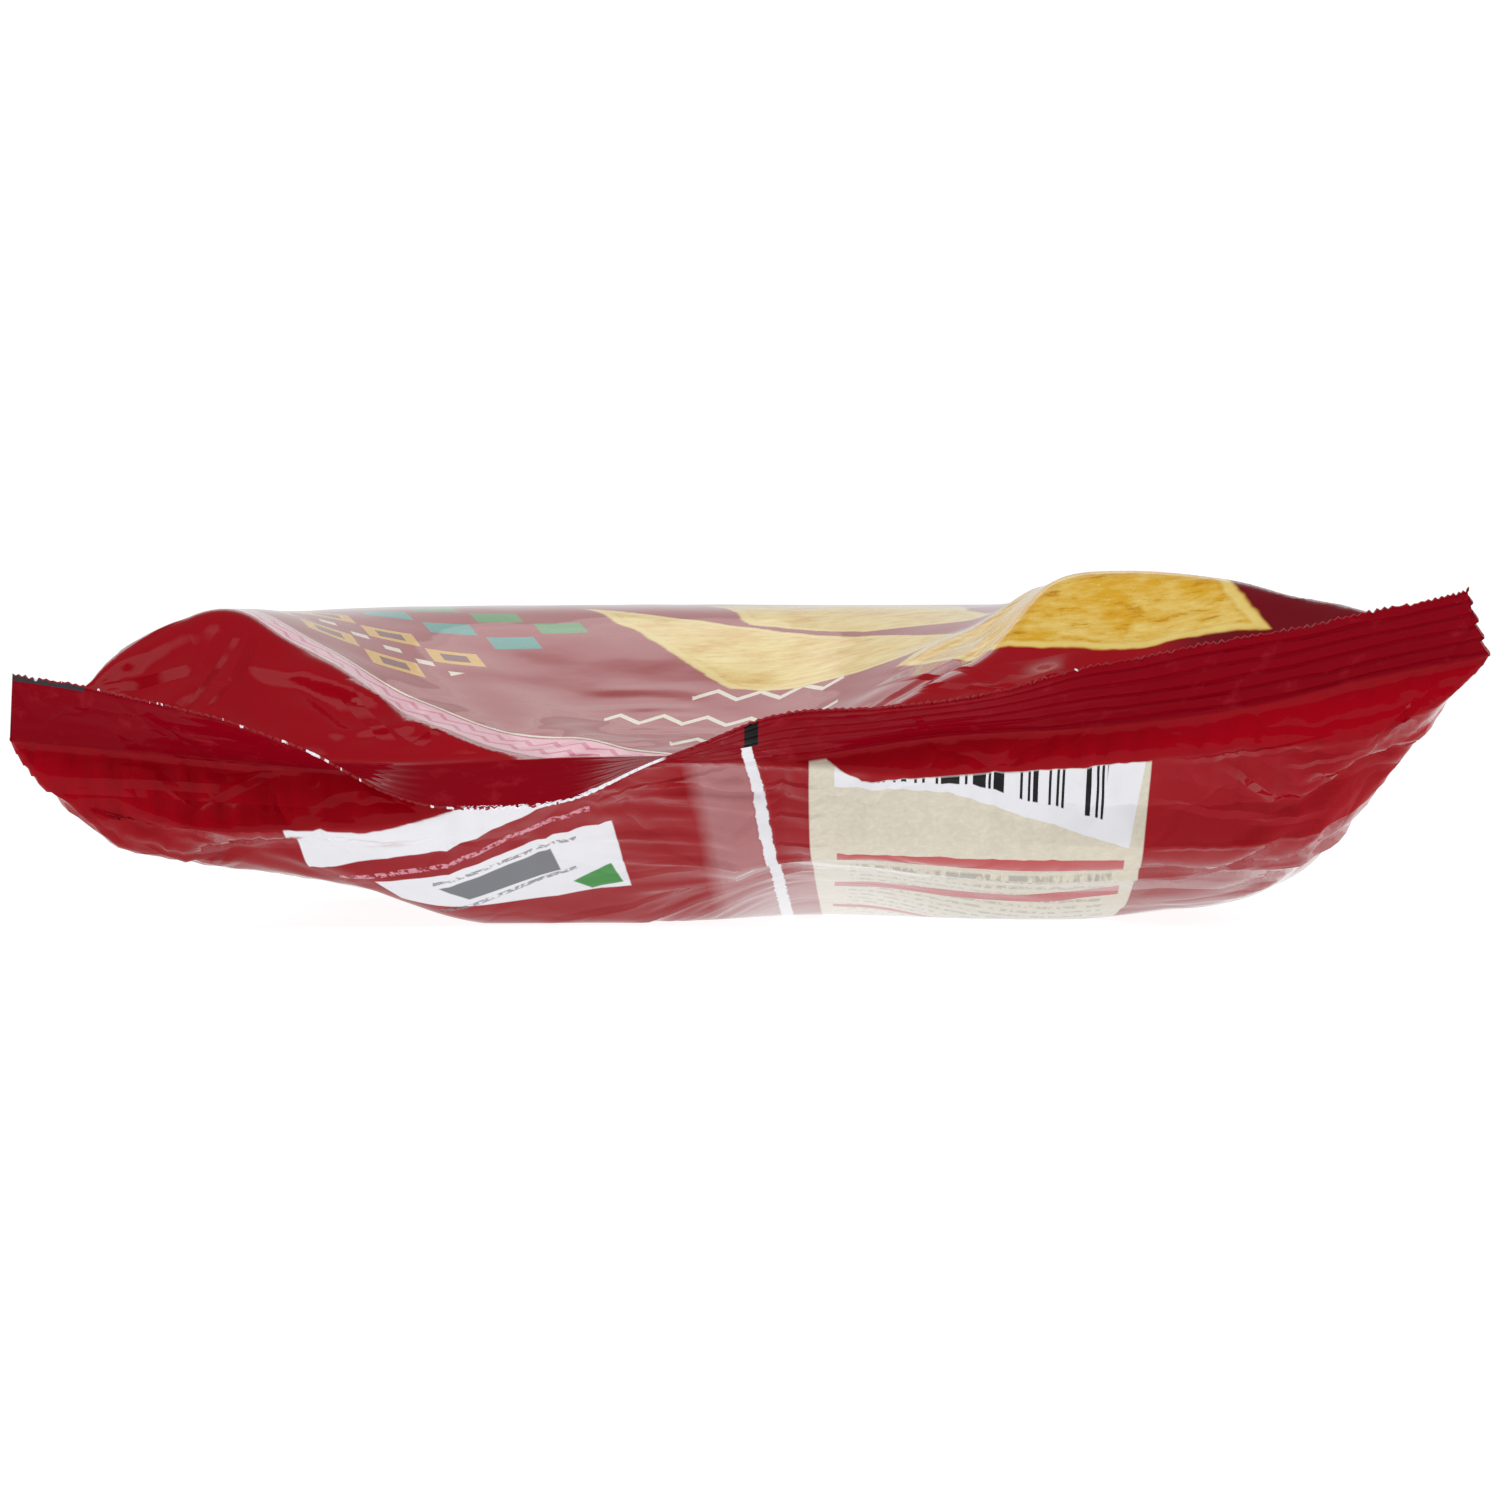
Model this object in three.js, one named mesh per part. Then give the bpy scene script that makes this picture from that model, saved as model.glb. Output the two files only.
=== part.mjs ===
import * as THREE from "three";

// A shut bag of crisps that lies on its back, in millimetres.
// X runs along the end seals, Y along the bag away from the near seal, Z up from the table.
// The bag is one closed film pack: a front panel above, a back panel below, and a flat sealed band
// at each end. Each panel is a grid of film points, and the two grids are joined along their rims.

// Flat film and the sealed bands
const FLAT_WIDTH = 200;
const BAND_HEIGHT = 11;
const BAND_THICKNESS = 1.0;
const BAND_END_TAPERS = [1.0, 3.4];

// Filled body
const HALF_LENGTH = 125;
const HALF_BODY = 88.5;
const EDGE_HEIGHT = 23;
const TOP_HEIGHT = 47.1;
const TOP_ROUNDING = 3.6;
const LOW_ROUNDING_LEFT = 2.8;
const LOW_ROUNDING_RIGHT = 3.3;
const TABLE_PRESS = 1.05;
const EAR_REACH = 34;
const MIDDLE_REACH = 60;

// Puckers along the two long side edges
const PUCKER_PITCH = 37;
const PUCKER_HEIGHT = 1.3;
const PUCKER_WIDTH = 0.2;

// Grid of each panel
const COLUMNS = 46;
const BODY_ROWS = 46;
const BAND_ROWS = 4;
const ROW_CROWDING = 0.09;
const PATH_STEPS = 300;
const LIP_STEPS = 8;
const LIP_BULGE = 0.07;
const VALLEY_START = 0.5;
const SECTION_STEPS = 300;

const clamp01 = (t) => Math.min(Math.max(t, 0), 1);
const ease = (t) => clamp01(t) ** 2 * (3 - 2 * clamp01(t));
const bell = (t) => Math.exp(-t * t);
const blend = (from, to, share) => from * (1 - share) + to * share;

// Lower of two heights with a rounded change-over, and the higher of two in the same way.
function softLower(a, b, round) {
  const share = clamp01(0.5 + (0.5 * (b - a)) / round);
  return blend(b, a, share) - round * share * (1 - share);
}
const softHigher = (a, b, round) => -softLower(-a, -b, round);

// How the near seal waves, at stations along it: x, height of the root, rise of the band as a sine,
// and how far the back panel's lip hangs below the root.
const SEAL_STATIONS = [
  [-100, 25.7, 0.8, 10.5],
  [-77, 23.8, 0.55, 11.0],
  [-60, 22.2, 0.22, 8.8],
  [-50, 21.7, -0.27, 8.2],
  [-26, 22.7, -0.5, 2.0],
  [-12, 22.9, 0.0, 0.3],
  [0, 23.0, 0.42, 0.3],
  [27, 26.5, 0.42, 5.9],
  [48, 27.7, 0.73, 5.1],
  [68, 30.3, 0.87, 6.0],
  [85, 34.4, 0.79, 9.5],
  [100, 37.2, 0.78, 9.5],
];
const LAST_STATION = SEAL_STATIONS.length - 1;

// Slope of one item of the stations, weighted so that the nearer neighbour counts more.
function stationSlope(i, item) {
  const gain = (a, b, place) => SEAL_STATIONS[b][place] - SEAL_STATIONS[a][place];
  const slope = (a, b) => gain(a, b, item) / gain(a, b, 0);
  if (i === 0) return slope(0, 1);
  if (i === LAST_STATION) return slope(i - 1, i);
  const before = SEAL_STATIONS[i][0] - SEAL_STATIONS[i - 1][0];
  const after = SEAL_STATIONS[i + 1][0] - SEAL_STATIONS[i][0];
  return (slope(i - 1, i) * after + slope(i, i + 1) * before) / (before + after);
}

// A smooth curve through one item of the stations.
function atStation(x, item) {
  let i = 0;
  while (i < LAST_STATION - 1 && SEAL_STATIONS[i + 1][0] < x) i++;
  const span = SEAL_STATIONS[i + 1][0] - SEAL_STATIONS[i][0];
  const t = clamp01((x - SEAL_STATIONS[i][0]) / span);
  const [from, to] = [SEAL_STATIONS[i][item], SEAL_STATIONS[i + 1][item]];
  const start = (1 + 2 * t) * (1 - t) ** 2 * from + t * (1 - t) ** 2 * span * stationSlope(i, item);
  const stop = t * t * (3 - 2 * t) * to - t * t * (1 - t) * span * stationSlope(i + 1, item);
  return start + stop;
}

// The near seal waves: it droops left of the middle and rises to both corners.
const nearEnd = {
  side: -1,
  rootHeight: (x) => atStation(x, 1),
  rootSetback: (x) => 5 * (1 - (x / 100) ** 2),
  rise: (x) => atStation(x, 2),
  lip: (x) => atStation(x, 3),
  valley: (x) => ease((x + 91) / 66) - 0.45 * ease(x / 40) - 0.55 * ease((x - 30) / 18),
  cheek: (x, d) => {
    const right = 3.4 * bell((x - 54) / 24) * bell((d - 32) / 30);
    return right + 0.9 * bell((x + 70) / 14) * bell((d - 36) / 30);
  },
  hollow: (x, d) => {
    const belly = 4.4 * bell((x + 66) / 20) + 0.9 * bell((x + 50) / 8);
    const left = belly * (1 - ease((d - 90) / 80)) + 1.2 * bell((x + 89) / 3) * bell((d - 15) / 15);
    const right = 5.2 * bell((x - 85) / 9) * bell((d - 34) / 24);
    return left + right + 2.8 * bell((x - 85) / 3.2) * bell((d - 75) / 40);
  },
  tuck: (x) => 0.1 * ease((x - 15) / 30),
  frontSlope: [0.98, 0.72],
  backSlope: [0.72, 1.0],
  underStart: [0.62, 0.54],
  underSlope: [0.62, 0.15],
  valleyReach: 107,
};

// The far seal is straighter and stays about level.
const farEnd = {
  side: 1,
  rootHeight: (x) => 24 + 2.5 * Math.sin(x / 30) + 6 * (x / 100) ** 2,
  rootSetback: (x) => 6 * (1 - (x / 100) ** 2),
  rise: (x) => 0.25 + 0.4 * Math.sin(x / 26 + 1),
  lip: (x) => 0.6 + 2.5 * bell((x - 50) / 30),
  valley: (x) => ease((x + 75) / 45) * (1 - ease((x - 20) / 55)),
  cheek: (x, d) => 1.5 * bell((x + 45) / 24) * bell((d - 34) / 26),
  hollow: (x, d) => 2.5 * bell((x - 60) / 18) * bell((d - 30) / 30),
  tuck: () => 0,
  frontSlope: [0.75, 0.8],
  backSlope: [0.7, 0.7],
  underStart: [0.6, 0.6],
  underSlope: [0.34, 0.3],
  valleyReach: 90,
};
const ENDS = [nearEnd, farEnd];

// Soft folds that run into the panels from the near seal: start and stop as x and distance behind
// the seal, then how far the film sinks (-) or stands out (+), and the half width.
const FRONT_FOLDS = [
  [-86, 2, -77, 24, -1.2, 4.5],
  [-68, 2, -62, 30, -1.1, 4.5],
  [-47, 3, -52, 34, -0.9, 5],
  [-20, 3, -36, 46, 0.8, 6],
  [12, 4, 40, 34, -1.0, 5],
  [44, 3, 62, 24, -0.9, 4.5],
  [72, 2, 76, 30, -1.1, 5],
];
const BACK_FOLDS = [
  [90, 3, 58, 30, 1.2, 4.5],
  [90, 4, 74, 36, -1.1, 4.5],
  [88, 3, 84, 30, 1.0, 4],
  [-90, 5, -66, 34, 1.0, 5],
  [-92, 4, -80, 34, -0.9, 4.5],
  [0, 4, -4, 44, -0.8, 4],
];

// Sum of the folds at a point, each fading out at both of its ends.
function foldRelief(folds, x, d) {
  let sum = 0;
  for (const [x0, d0, x1, d1, depth, width] of folds) {
    const [dx, dd] = [x1 - x0, d1 - d0];
    const share = clamp01(((x - x0) * dx + (d - d0) * dd) / (dx * dx + dd * dd));
    const away = Math.hypot(x - x0 - share * dx, d - d0 - share * dd);
    const fade = ease(share / 0.2) * (1 - 0.85 * ease((share - 0.3) / 0.7));
    sum += depth * fade * bell(away / width);
  }
  return sum;
}

// Quarter of a superellipse, stepped evenly along its length from the middle to the side edge.
function quarterTable(rounding, halfWidth, rise) {
  const rows = [];
  let run = 0;
  for (let i = 0; i <= SECTION_STEPS; i++) {
    const angle = (Math.PI / 2) * (1 - i / SECTION_STEPS);
    const [c, s] = [Math.max(Math.cos(angle), 0), Math.max(Math.sin(angle), 0)];
    const radius = (c ** rounding + s ** rounding) ** (1 / rounding);
    const [x, z] = [c / radius, s / radius];
    if (i > 0) run += Math.hypot((x - rows[i - 1].x) * halfWidth, (z - rows[i - 1].z) * rise);
    rows.push({ x, z, run });
  }
  return rows.map((row) => ({ ...row, run: row.run / run }));
}
const TOP_TABLE = quarterTable(TOP_ROUNDING, HALF_BODY, TOP_HEIGHT - EDGE_HEIGHT);
const LOW_TABLE_LEFT = quarterTable(LOW_ROUNDING_LEFT, HALF_BODY, EDGE_HEIGHT);
const LOW_TABLE_RIGHT = quarterTable(LOW_ROUNDING_RIGHT, HALF_BODY, EDGE_HEIGHT);

// Unit width and unit height of the body's section at a column, which runs from -1 to 1.
function section(column, isBack) {
  const lowTable = column < 0 ? LOW_TABLE_LEFT : LOW_TABLE_RIGHT;
  const table = isBack ? lowTable : TOP_TABLE;
  const share = Math.abs(column);
  let i = 1;
  while (i < table.length - 1 && table[i].run < share) i++;
  const [a, b] = [table[i - 1], table[i]];
  const part = (share - a.run) / (b.run - a.run);
  return { x: Math.sign(column) * blend(a.x, b.x, part), z: blend(a.z, b.z, part) };
}

// Height of the surface halfway between the panels, at a distance behind an end's seal.
function middleHeight(end, x, d) {
  return blend(end.rootHeight(x), EDGE_HEIGHT, ease(d / MIDDLE_REACH));
}

const leftToRight = (column, pair) => blend(pair[0], pair[1], ease((column + 0.25) / 0.5));
const cornerFade = (column) => 1 - Math.abs(column) ** (column < 0 ? 18 : 12);
const rootY = (end, x) => end.side * (HALF_LENGTH - end.rootSetback(x));

// How far a valley has climbed at a share of its reach: gently at first, steepest half way.
function valleyClimb(share) {
  const t = Math.min(share, 1);
  return VALLEY_START * t * (1 - t) ** 2 + t * t * (3 - 2 * t);
}

// Height of the front panel: a flat top, a steep facet behind each seal and a valley between them.
function frontHeight(column, x, distances, sideHeight, unitHeight, middle) {
  const cap = TOP_HEIGHT + nearEnd.cheek(x, distances[0]) + farEnd.cheek(x, distances[1]);
  let z = blend(sideHeight, cap, unitHeight);
  ENDS.forEach((end, i) => {
    const d = distances[i];
    const root = end.rootHeight(x);
    const soft = ease(d / 16) + 0.02;
    const facet = root + leftToRight(column, end.frontSlope) * (0.25 + 0.75 * cornerFade(column)) * d;
    const dip = cap - (cap - root) * end.valley(x) * (1 - valleyClimb(d / end.valleyReach));
    z = softLower(softLower(z, dip, 3 * soft), facet, 2 * soft);
  });
  z += foldRelief(FRONT_FOLDS, x, distances[0]) + foldRelief(FRONT_FOLDS, -x, distances[1]) * 0.8;
  return Math.max(z, middle + BAND_THICKNESS / 2);
}

// Height of the back panel: a steep facet under each seal's lip, a gentle one, then the table.
function backHeight(column, x, distances, sideHeight, unitHeight, middle) {
  let z = sideHeight * (1 - TABLE_PRESS * unitHeight);
  ENDS.forEach((end, i) => {
    const d = distances[i];
    const start = end.rootHeight(x) - end.lip(x) * cornerFade(column);
    const soft = ease(d / 16) + 0.02;
    const steepness = leftToRight(column, end.backSlope) * (0.1 + 0.9 * cornerFade(column) ** 2);
    const steep = start - steepness * d;
    const underStart = start * leftToRight(column + 0.15, end.underStart);
    const under = underStart - (leftToRight(column + 0.15, end.underSlope) + end.tuck(x)) * d;
    z = softHigher(z, softHigher(steep, under, 3), 3 * soft) + end.hollow(x, d) * ease(d / 10);
  });
  z += foldRelief(BACK_FOLDS, x, distances[0]) + foldRelief(BACK_FOLDS, -x, distances[1]) * 0.8;
  return Math.max(Math.min(z, middle - BAND_THICKNESS / 2), 0);
}

// One film point of a panel, between the near root (share 0) and the far root (share 1).
function panelPoint(column, share, isBack) {
  const flatX = (column * FLAT_WIDTH) / 2;
  const [yNear, yFar] = ENDS.map((end) => rootY(end, flatX));
  const y = blend(yNear, yFar, share);
  const distances = [y - yNear, yFar - y];
  const closer = distances[0] < distances[1] ? 0 : 1;
  const inside = ease(distances[closer] / EAR_REACH);
  const unit = section(column, isBack);
  const corner = (Math.sign(column) * FLAT_WIDTH) / 2;
  const wave = Math.sin((2 * Math.PI * y) / PUCKER_PITCH + column);
  const pucker = PUCKER_HEIGHT * inside * bell((1 - Math.abs(column)) / PUCKER_WIDTH) * wave;
  const x = blend(flatX, unit.x * HALF_BODY, inside) - Math.sign(column) * 0.4 * Math.abs(pucker);
  const sideHeight = middleHeight(ENDS[closer], corner, distances[closer]) + pucker;
  const middle = middleHeight(ENDS[closer], x, distances[closer]) + pucker;
  const height = isBack ? backHeight : frontHeight;
  return new THREE.Vector3(x, y, height(column, x, distances, sideHeight, unit.z, middle));
}

// Point of the sealed band, at a distance out from the root, on its front (+1) or back (-1) face.
function bandPoint(end, column, out, face) {
  const x = (column * FLAT_WIDTH) / 2;
  const rise = end.rise(x);
  const level = Math.sqrt(1 - rise * rise);
  const half = (BAND_THICKNESS / 2) * face;
  const endTaper = column < 0 ? -BAND_END_TAPERS[0] : BAND_END_TAPERS[1];
  const taper = (endTaper * Math.abs(column) ** 21 * out) / BAND_HEIGHT;
  return new THREE.Vector3(
    x - taper,
    rootY(end, x) + end.side * (out * level - rise * half),
    end.rootHeight(x) + out * rise + level * half,
  );
}

// The back panel hangs down from the root as a rounded lip before it turns in under the bag.
function lipPoints(end, column) {
  const x = (column * FLAT_WIDTH) / 2;
  const drop = end.lip(x) * cornerFade(column);
  const points = [];
  for (let i = 1; i < LIP_STEPS; i++) {
    const share = i / LIP_STEPS;
    const bulge = LIP_BULGE * drop * Math.sin(Math.PI * share ** 1.3);
    const z = end.rootHeight(x) - BAND_THICKNESS / 2 - drop * share;
    points.push(new THREE.Vector3(x, rootY(end, x) + end.side * bulge, z));
  }
  return points;
}

// Dense path of one column over a panel, from root to root.
function panelPath(column, isBack) {
  const face = isBack ? -1 : 1;
  const path = [bandPoint(nearEnd, column, 0, face)];
  if (isBack) path.push(...lipPoints(nearEnd, column));
  for (let i = 2; i < PATH_STEPS - 1; i++) path.push(panelPoint(column, i / PATH_STEPS, isBack));
  if (isBack) path.push(...lipPoints(farEnd, column).reverse());
  path.push(bandPoint(farEnd, column, 0, face));
  return path;
}

// The same path with its points at the wanted shares of its length.
function resample(path, shares) {
  const runs = [0];
  for (let i = 1; i < path.length; i++) runs.push(runs[i - 1] + path[i].distanceTo(path[i - 1]));
  const total = runs[runs.length - 1];
  let i = 1;
  return shares.map((share) => {
    while (i < path.length - 1 && runs[i] < share * total) i++;
    const part = clamp01((share * total - runs[i - 1]) / (runs[i] - runs[i - 1]));
    return path[i - 1].clone().lerp(path[i], part);
  });
}

// Rows are closer together near the seals, where the folds are.
function rowShares() {
  const shares = [];
  for (let i = 0; i <= BODY_ROWS; i++) {
    const t = i / BODY_ROWS;
    shares.push(t - ROW_CROWDING * Math.sin(2 * Math.PI * t));
  }
  return shares;
}

// All film points of one column of a panel, from the near cut edge to the far cut edge.
function columnPoints(column, isBack) {
  const face = isBack ? -1 : 1;
  const near = [];
  const far = [];
  for (let i = 0; i < BAND_ROWS; i++) {
    const out = BAND_HEIGHT * (1 - i / BAND_ROWS);
    near.push(bandPoint(nearEnd, column, out, face));
    far.unshift(bandPoint(farEnd, column, out, face));
  }
  return [...near, ...resample(panelPath(column, isBack), rowShares()), ...far];
}

// Joins the two panel grids into one closed surface that faces outwards.
function filmPack() {
  const ring = [];
  for (let i = 0; i <= COLUMNS; i++) ring.push(columnPoints((2 * i) / COLUMNS - 1, false));
  for (let i = COLUMNS; i >= 0; i--) ring.push(columnPoints((2 * i) / COLUMNS - 1, true));
  const around = ring.length;
  const rows = ring[0].length;
  const positions = ring.flat().flatMap((p) => [p.x, p.y, p.z]);
  const faces = [];
  const quad = (a, b, c, d) => faces.push(a, b, c, a, c, d);
  for (let i = 0; i < around; i++) {
    const next = (i + 1) % around;
    for (let j = 0; j < rows - 1; j++) {
      quad(i * rows + j, next * rows + j, next * rows + j + 1, i * rows + j + 1);
    }
  }
  for (let i = 0; i < COLUMNS; i++) {
    const [left, right] = [i, i + 1];
    const [lowLeft, lowRight] = [around - 1 - i, around - 2 - i];
    quad(left * rows, lowLeft * rows, lowRight * rows, right * rows);
    const last = rows - 1;
    quad(left * rows + last, right * rows + last, lowRight * rows + last, lowLeft * rows + last);
  }
  const geometry = new THREE.BufferGeometry();
  geometry.setAttribute("position", new THREE.Float32BufferAttribute(positions, 3));
  geometry.setIndex(faces);
  geometry.computeVertexNormals();
  return geometry;
}

const film = new THREE.MeshStandardMaterial({ color: 0xa3121c, roughness: 0.3, metalness: 0 });
film.name = "film";

// The origin is on the table, under the middle of the bag's box.
function centred(geometry) {
  geometry.computeBoundingBox();
  const middle = geometry.boundingBox.getCenter(new THREE.Vector3());
  return geometry.translate(-middle.x, -middle.y, 0);
}

const bag = new THREE.Mesh(centred(filmPack()), film);
bag.name = "bag";

const part = new THREE.Group();
part.name = "bag_of_crisps";
part.add(bag);

export default part;
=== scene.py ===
import math
from functools import partialmethod

import bpy
import numpy as np
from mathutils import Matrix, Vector


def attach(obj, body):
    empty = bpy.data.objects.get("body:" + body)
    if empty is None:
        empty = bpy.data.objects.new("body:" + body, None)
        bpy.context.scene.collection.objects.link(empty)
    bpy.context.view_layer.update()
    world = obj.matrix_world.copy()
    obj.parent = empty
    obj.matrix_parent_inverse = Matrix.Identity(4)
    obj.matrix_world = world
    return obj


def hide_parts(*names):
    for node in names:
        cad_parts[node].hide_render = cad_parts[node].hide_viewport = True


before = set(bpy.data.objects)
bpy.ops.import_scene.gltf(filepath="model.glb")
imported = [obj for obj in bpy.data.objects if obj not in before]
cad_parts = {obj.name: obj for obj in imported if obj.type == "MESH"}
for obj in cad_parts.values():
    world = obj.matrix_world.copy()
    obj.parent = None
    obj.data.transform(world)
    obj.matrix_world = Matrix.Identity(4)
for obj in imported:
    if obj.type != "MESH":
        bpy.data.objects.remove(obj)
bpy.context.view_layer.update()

# Flat film and the sealed bands, in millimetres
HALF_WIDTH = 100.0
BAND_HEIGHT = 11.0
BAND_THICKNESS = 1.0
BAND_END_TAPERS = (1.0, 3.4)
FILM_LENGTH = 268.0

# Filled body, in millimetres
HALF_LENGTH = 125.0
HALF_BODY = 88.5
EDGE_HEIGHT = 23.0
TOP_HEIGHT = 47.1
TOP_ROUNDING = 3.6
LOW_ROUNDING_LEFT = 2.8
LOW_ROUNDING_RIGHT = 3.3
TABLE_PRESS = 1.05
EAR_REACH = 34.0
MIDDLE_REACH = 60.0
PUCKER_PITCH = 37.0
PUCKER_HEIGHT = 1.3
PUCKER_WIDTH = 0.2
CENTRE_Y = 1.672
PATH_STEPS = 400
LIP_STEPS = 10
LIP_BULGE = 0.07
VALLEY_START = 0.5

# Film relaxation: columns, rows and passes of each level, then how the film gives and moves
LEVELS = ((48, 52, 240), (96, 104, 240), (192, 208, 150))
END_CROWDING = 0.5
FILM_GAP = 0.4
SQUEEZE = 0.7
STIFFNESS = 0.04
CALMING = 0.995
FIRST_BUCKLES = 0.12
TIED_FREEDOM = 0.3
FREEDOM = 4.0
SEED = 11

MM = 0.001


# Small helpers for the shape
def ease(t):
    t = np.clip(t, 0, 1)
    return t * t * (3 - 2 * t)


def bell(t):
    return np.exp(-t * t)


def soft_lower(a, b, rounding):
    share = np.clip(0.5 + 0.5 * (b - a) / rounding, 0, 1)
    return b * (1 - share) + a * share - rounding * share * (1 - share)


def soft_higher(a, b, rounding):
    return -soft_lower(-a, -b, rounding)


# How the near seal waves, at stations along it: x, height of the root, rise of the band as a sine,
# and how far the back panel's lip hangs below the root.
SEAL_STATIONS = np.array(
    (
        (-100, 25.7, 0.8, 10.5),
        (-77, 23.8, 0.55, 11.0),
        (-60, 22.2, 0.22, 8.8),
        (-50, 21.7, -0.27, 8.2),
        (-26, 22.7, -0.5, 2.0),
        (-12, 22.9, 0.0, 0.3),
        (0, 23.0, 0.42, 0.3),
        (27, 26.5, 0.42, 5.9),
        (48, 27.7, 0.73, 5.1),
        (68, 30.3, 0.87, 6.0),
        (85, 34.4, 0.79, 9.5),
        (100, 37.2, 0.78, 9.5),
    )
)


def at_station(x, item):
    """A smooth curve through one item of the stations."""
    at = SEAL_STATIONS[:, 0]
    value = SEAL_STATIONS[:, item]
    slope = np.gradient(value, at)
    x = np.clip(x, at[0], at[-1])
    i = np.clip(np.searchsorted(at, x) - 1, 0, len(at) - 2)
    span = at[i + 1] - at[i]
    t = (x - at[i]) / span
    start = (1 + 2 * t) * (1 - t) ** 2 * value[i] + t * (1 - t) ** 2 * span * slope[i]
    stop = t * t * (3 - 2 * t) * value[i + 1] - t * t * (1 - t) * span * slope[i + 1]
    return start + stop


class NearEnd:
    """The near seal waves: it droops left of the middle and rises to both corners."""

    side = -1
    front_slope = (0.98, 0.72)
    back_slope = (0.72, 1.0)
    under_start = (0.62, 0.54)
    under_slope = (0.62, 0.15)
    valley_reach = 107.0

    def root_height(x):
        return at_station(x, 1)

    def root_setback(x):
        return 5 * (1 - (x / 100) ** 2)

    def rise(x):
        return at_station(x, 2)

    def lip(x):
        return at_station(x, 3)

    def valley(x):
        return ease((x + 91) / 66) - 0.45 * ease(x / 40) - 0.55 * ease((x - 30) / 18)

    def cheek(x, d):
        right = 3.4 * bell((x - 54) / 24) * bell((d - 32) / 30)
        return right + 0.9 * bell((x + 70) / 14) * bell((d - 36) / 30)

    def tuck(x):
        return 0.1 * ease((x - 15) / 30)

    def hollow(x, d):
        belly = 4.4 * bell((x + 66) / 20) + 0.9 * bell((x + 50) / 8)
        left = belly * (1 - ease((d - 90) / 80)) + 1.2 * bell((x + 89) / 3) * bell((d - 15) / 15)
        right = 5.2 * bell((x - 85) / 9) * bell((d - 34) / 24)
        return left + right + 2.8 * bell((x - 85) / 3.2) * bell((d - 75) / 40)


class FarEnd:
    """The far seal is straighter and stays about level."""

    side = 1
    front_slope = (0.75, 0.8)
    back_slope = (0.7, 0.7)
    under_start = (0.6, 0.6)
    under_slope = (0.34, 0.3)
    valley_reach = 90.0

    def root_height(x):
        return 24 + 2.5 * np.sin(x / 30) + 6 * (x / 100) ** 2

    def root_setback(x):
        return 6 * (1 - (x / 100) ** 2)

    def rise(x):
        return 0.25 + 0.4 * np.sin(x / 26 + 1)

    def lip(x):
        return 0.6 + 2.5 * bell((x - 50) / 30)

    def valley(x):
        return ease((x + 75) / 45) * (1 - ease((x - 20) / 55))

    def cheek(x, d):
        return 1.5 * bell((x + 45) / 24) * bell((d - 34) / 26)

    def tuck(x):
        return 0 * x

    def hollow(x, d):
        return 2.5 * bell((x - 60) / 18) * bell((d - 30) / 30)


ENDS = (NearEnd, FarEnd)

# Soft folds that run into the panels from the near seal: start and stop as x and distance behind
# the seal, then how far the film sinks (-) or stands out (+), and the half width.
FRONT_FOLDS = (
    (-86, 2, -77, 24, -1.2, 4.5),
    (-68, 2, -62, 30, -1.1, 4.5),
    (-47, 3, -52, 34, -0.9, 5),
    (-20, 3, -36, 46, 0.8, 6),
    (12, 4, 40, 34, -1.0, 5),
    (44, 3, 62, 24, -0.9, 4.5),
    (72, 2, 76, 30, -1.1, 5),
)
BACK_FOLDS = (
    (90, 3, 58, 30, 1.2, 4.5),
    (90, 4, 74, 36, -1.1, 4.5),
    (88, 3, 84, 30, 1.0, 4),
    (-90, 5, -66, 34, 1.0, 5),
    (-92, 4, -80, 34, -0.9, 4.5),
    (0, 4, -4, 44, -0.8, 4),
)


def fold_relief(folds, x, d):
    total = 0 * x
    for x0, d0, x1, d1, depth, width in folds:
        dx = x1 - x0
        dd = d1 - d0
        share = np.clip(((x - x0) * dx + (d - d0) * dd) / (dx * dx + dd * dd), 0, 1)
        away = np.hypot(x - x0 - share * dx, d - d0 - share * dd)
        fade = ease(share / 0.2) * (1 - 0.85 * ease((share - 0.3) / 0.7))
        total = total + depth * fade * bell(away / width)
    return total


def quarter_table(rounding, half_width, rise):
    """Quarter of a superellipse: share of its length, unit width and unit height."""
    angle = np.linspace(math.pi / 2, 0, 400)
    c = np.maximum(np.cos(angle), 0)
    s = np.maximum(np.sin(angle), 0)
    radius = (c**rounding + s**rounding) ** (1 / rounding)
    x = c / radius
    z = s / radius
    steps = np.hypot(np.diff(x) * half_width, np.diff(z) * rise)
    run = np.concatenate([[0], np.cumsum(steps)])
    return run / run[-1], x, z


def section(column, is_back):
    """Unit width and unit height of the body's section at a column, which runs from -1 to 1."""
    share = np.abs(column)
    if is_back:
        left = quarter_table(LOW_ROUNDING_LEFT, HALF_BODY, EDGE_HEIGHT)
        right = quarter_table(LOW_ROUNDING_RIGHT, HALF_BODY, EDGE_HEIGHT)
    else:
        left = right = quarter_table(TOP_ROUNDING, HALF_BODY, TOP_HEIGHT - EDGE_HEIGHT)
    unit_x = np.where(column < 0, np.interp(share, left[0], left[1]), np.interp(share, right[0], right[1]))
    unit_z = np.where(column < 0, np.interp(share, left[0], left[2]), np.interp(share, right[0], right[2]))
    return np.sign(column) * unit_x, unit_z


def middle_height(x, distances):
    """Height between the panels, which starts at the root of the nearer end."""
    heights = []
    for end, d in zip(ENDS, distances):
        share = ease(d / MIDDLE_REACH)
        heights.append(end.root_height(x) * (1 - share) + EDGE_HEIGHT * share)
    return np.where(distances[0] < distances[1], *heights)


def left_to_right(column, pair):
    share = ease((column + 0.25) / 0.5)
    return pair[0] * (1 - share) + pair[1] * share


def corner_fade(column):
    return 1 - np.abs(column) ** np.where(column < 0, 18, 12)


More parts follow.
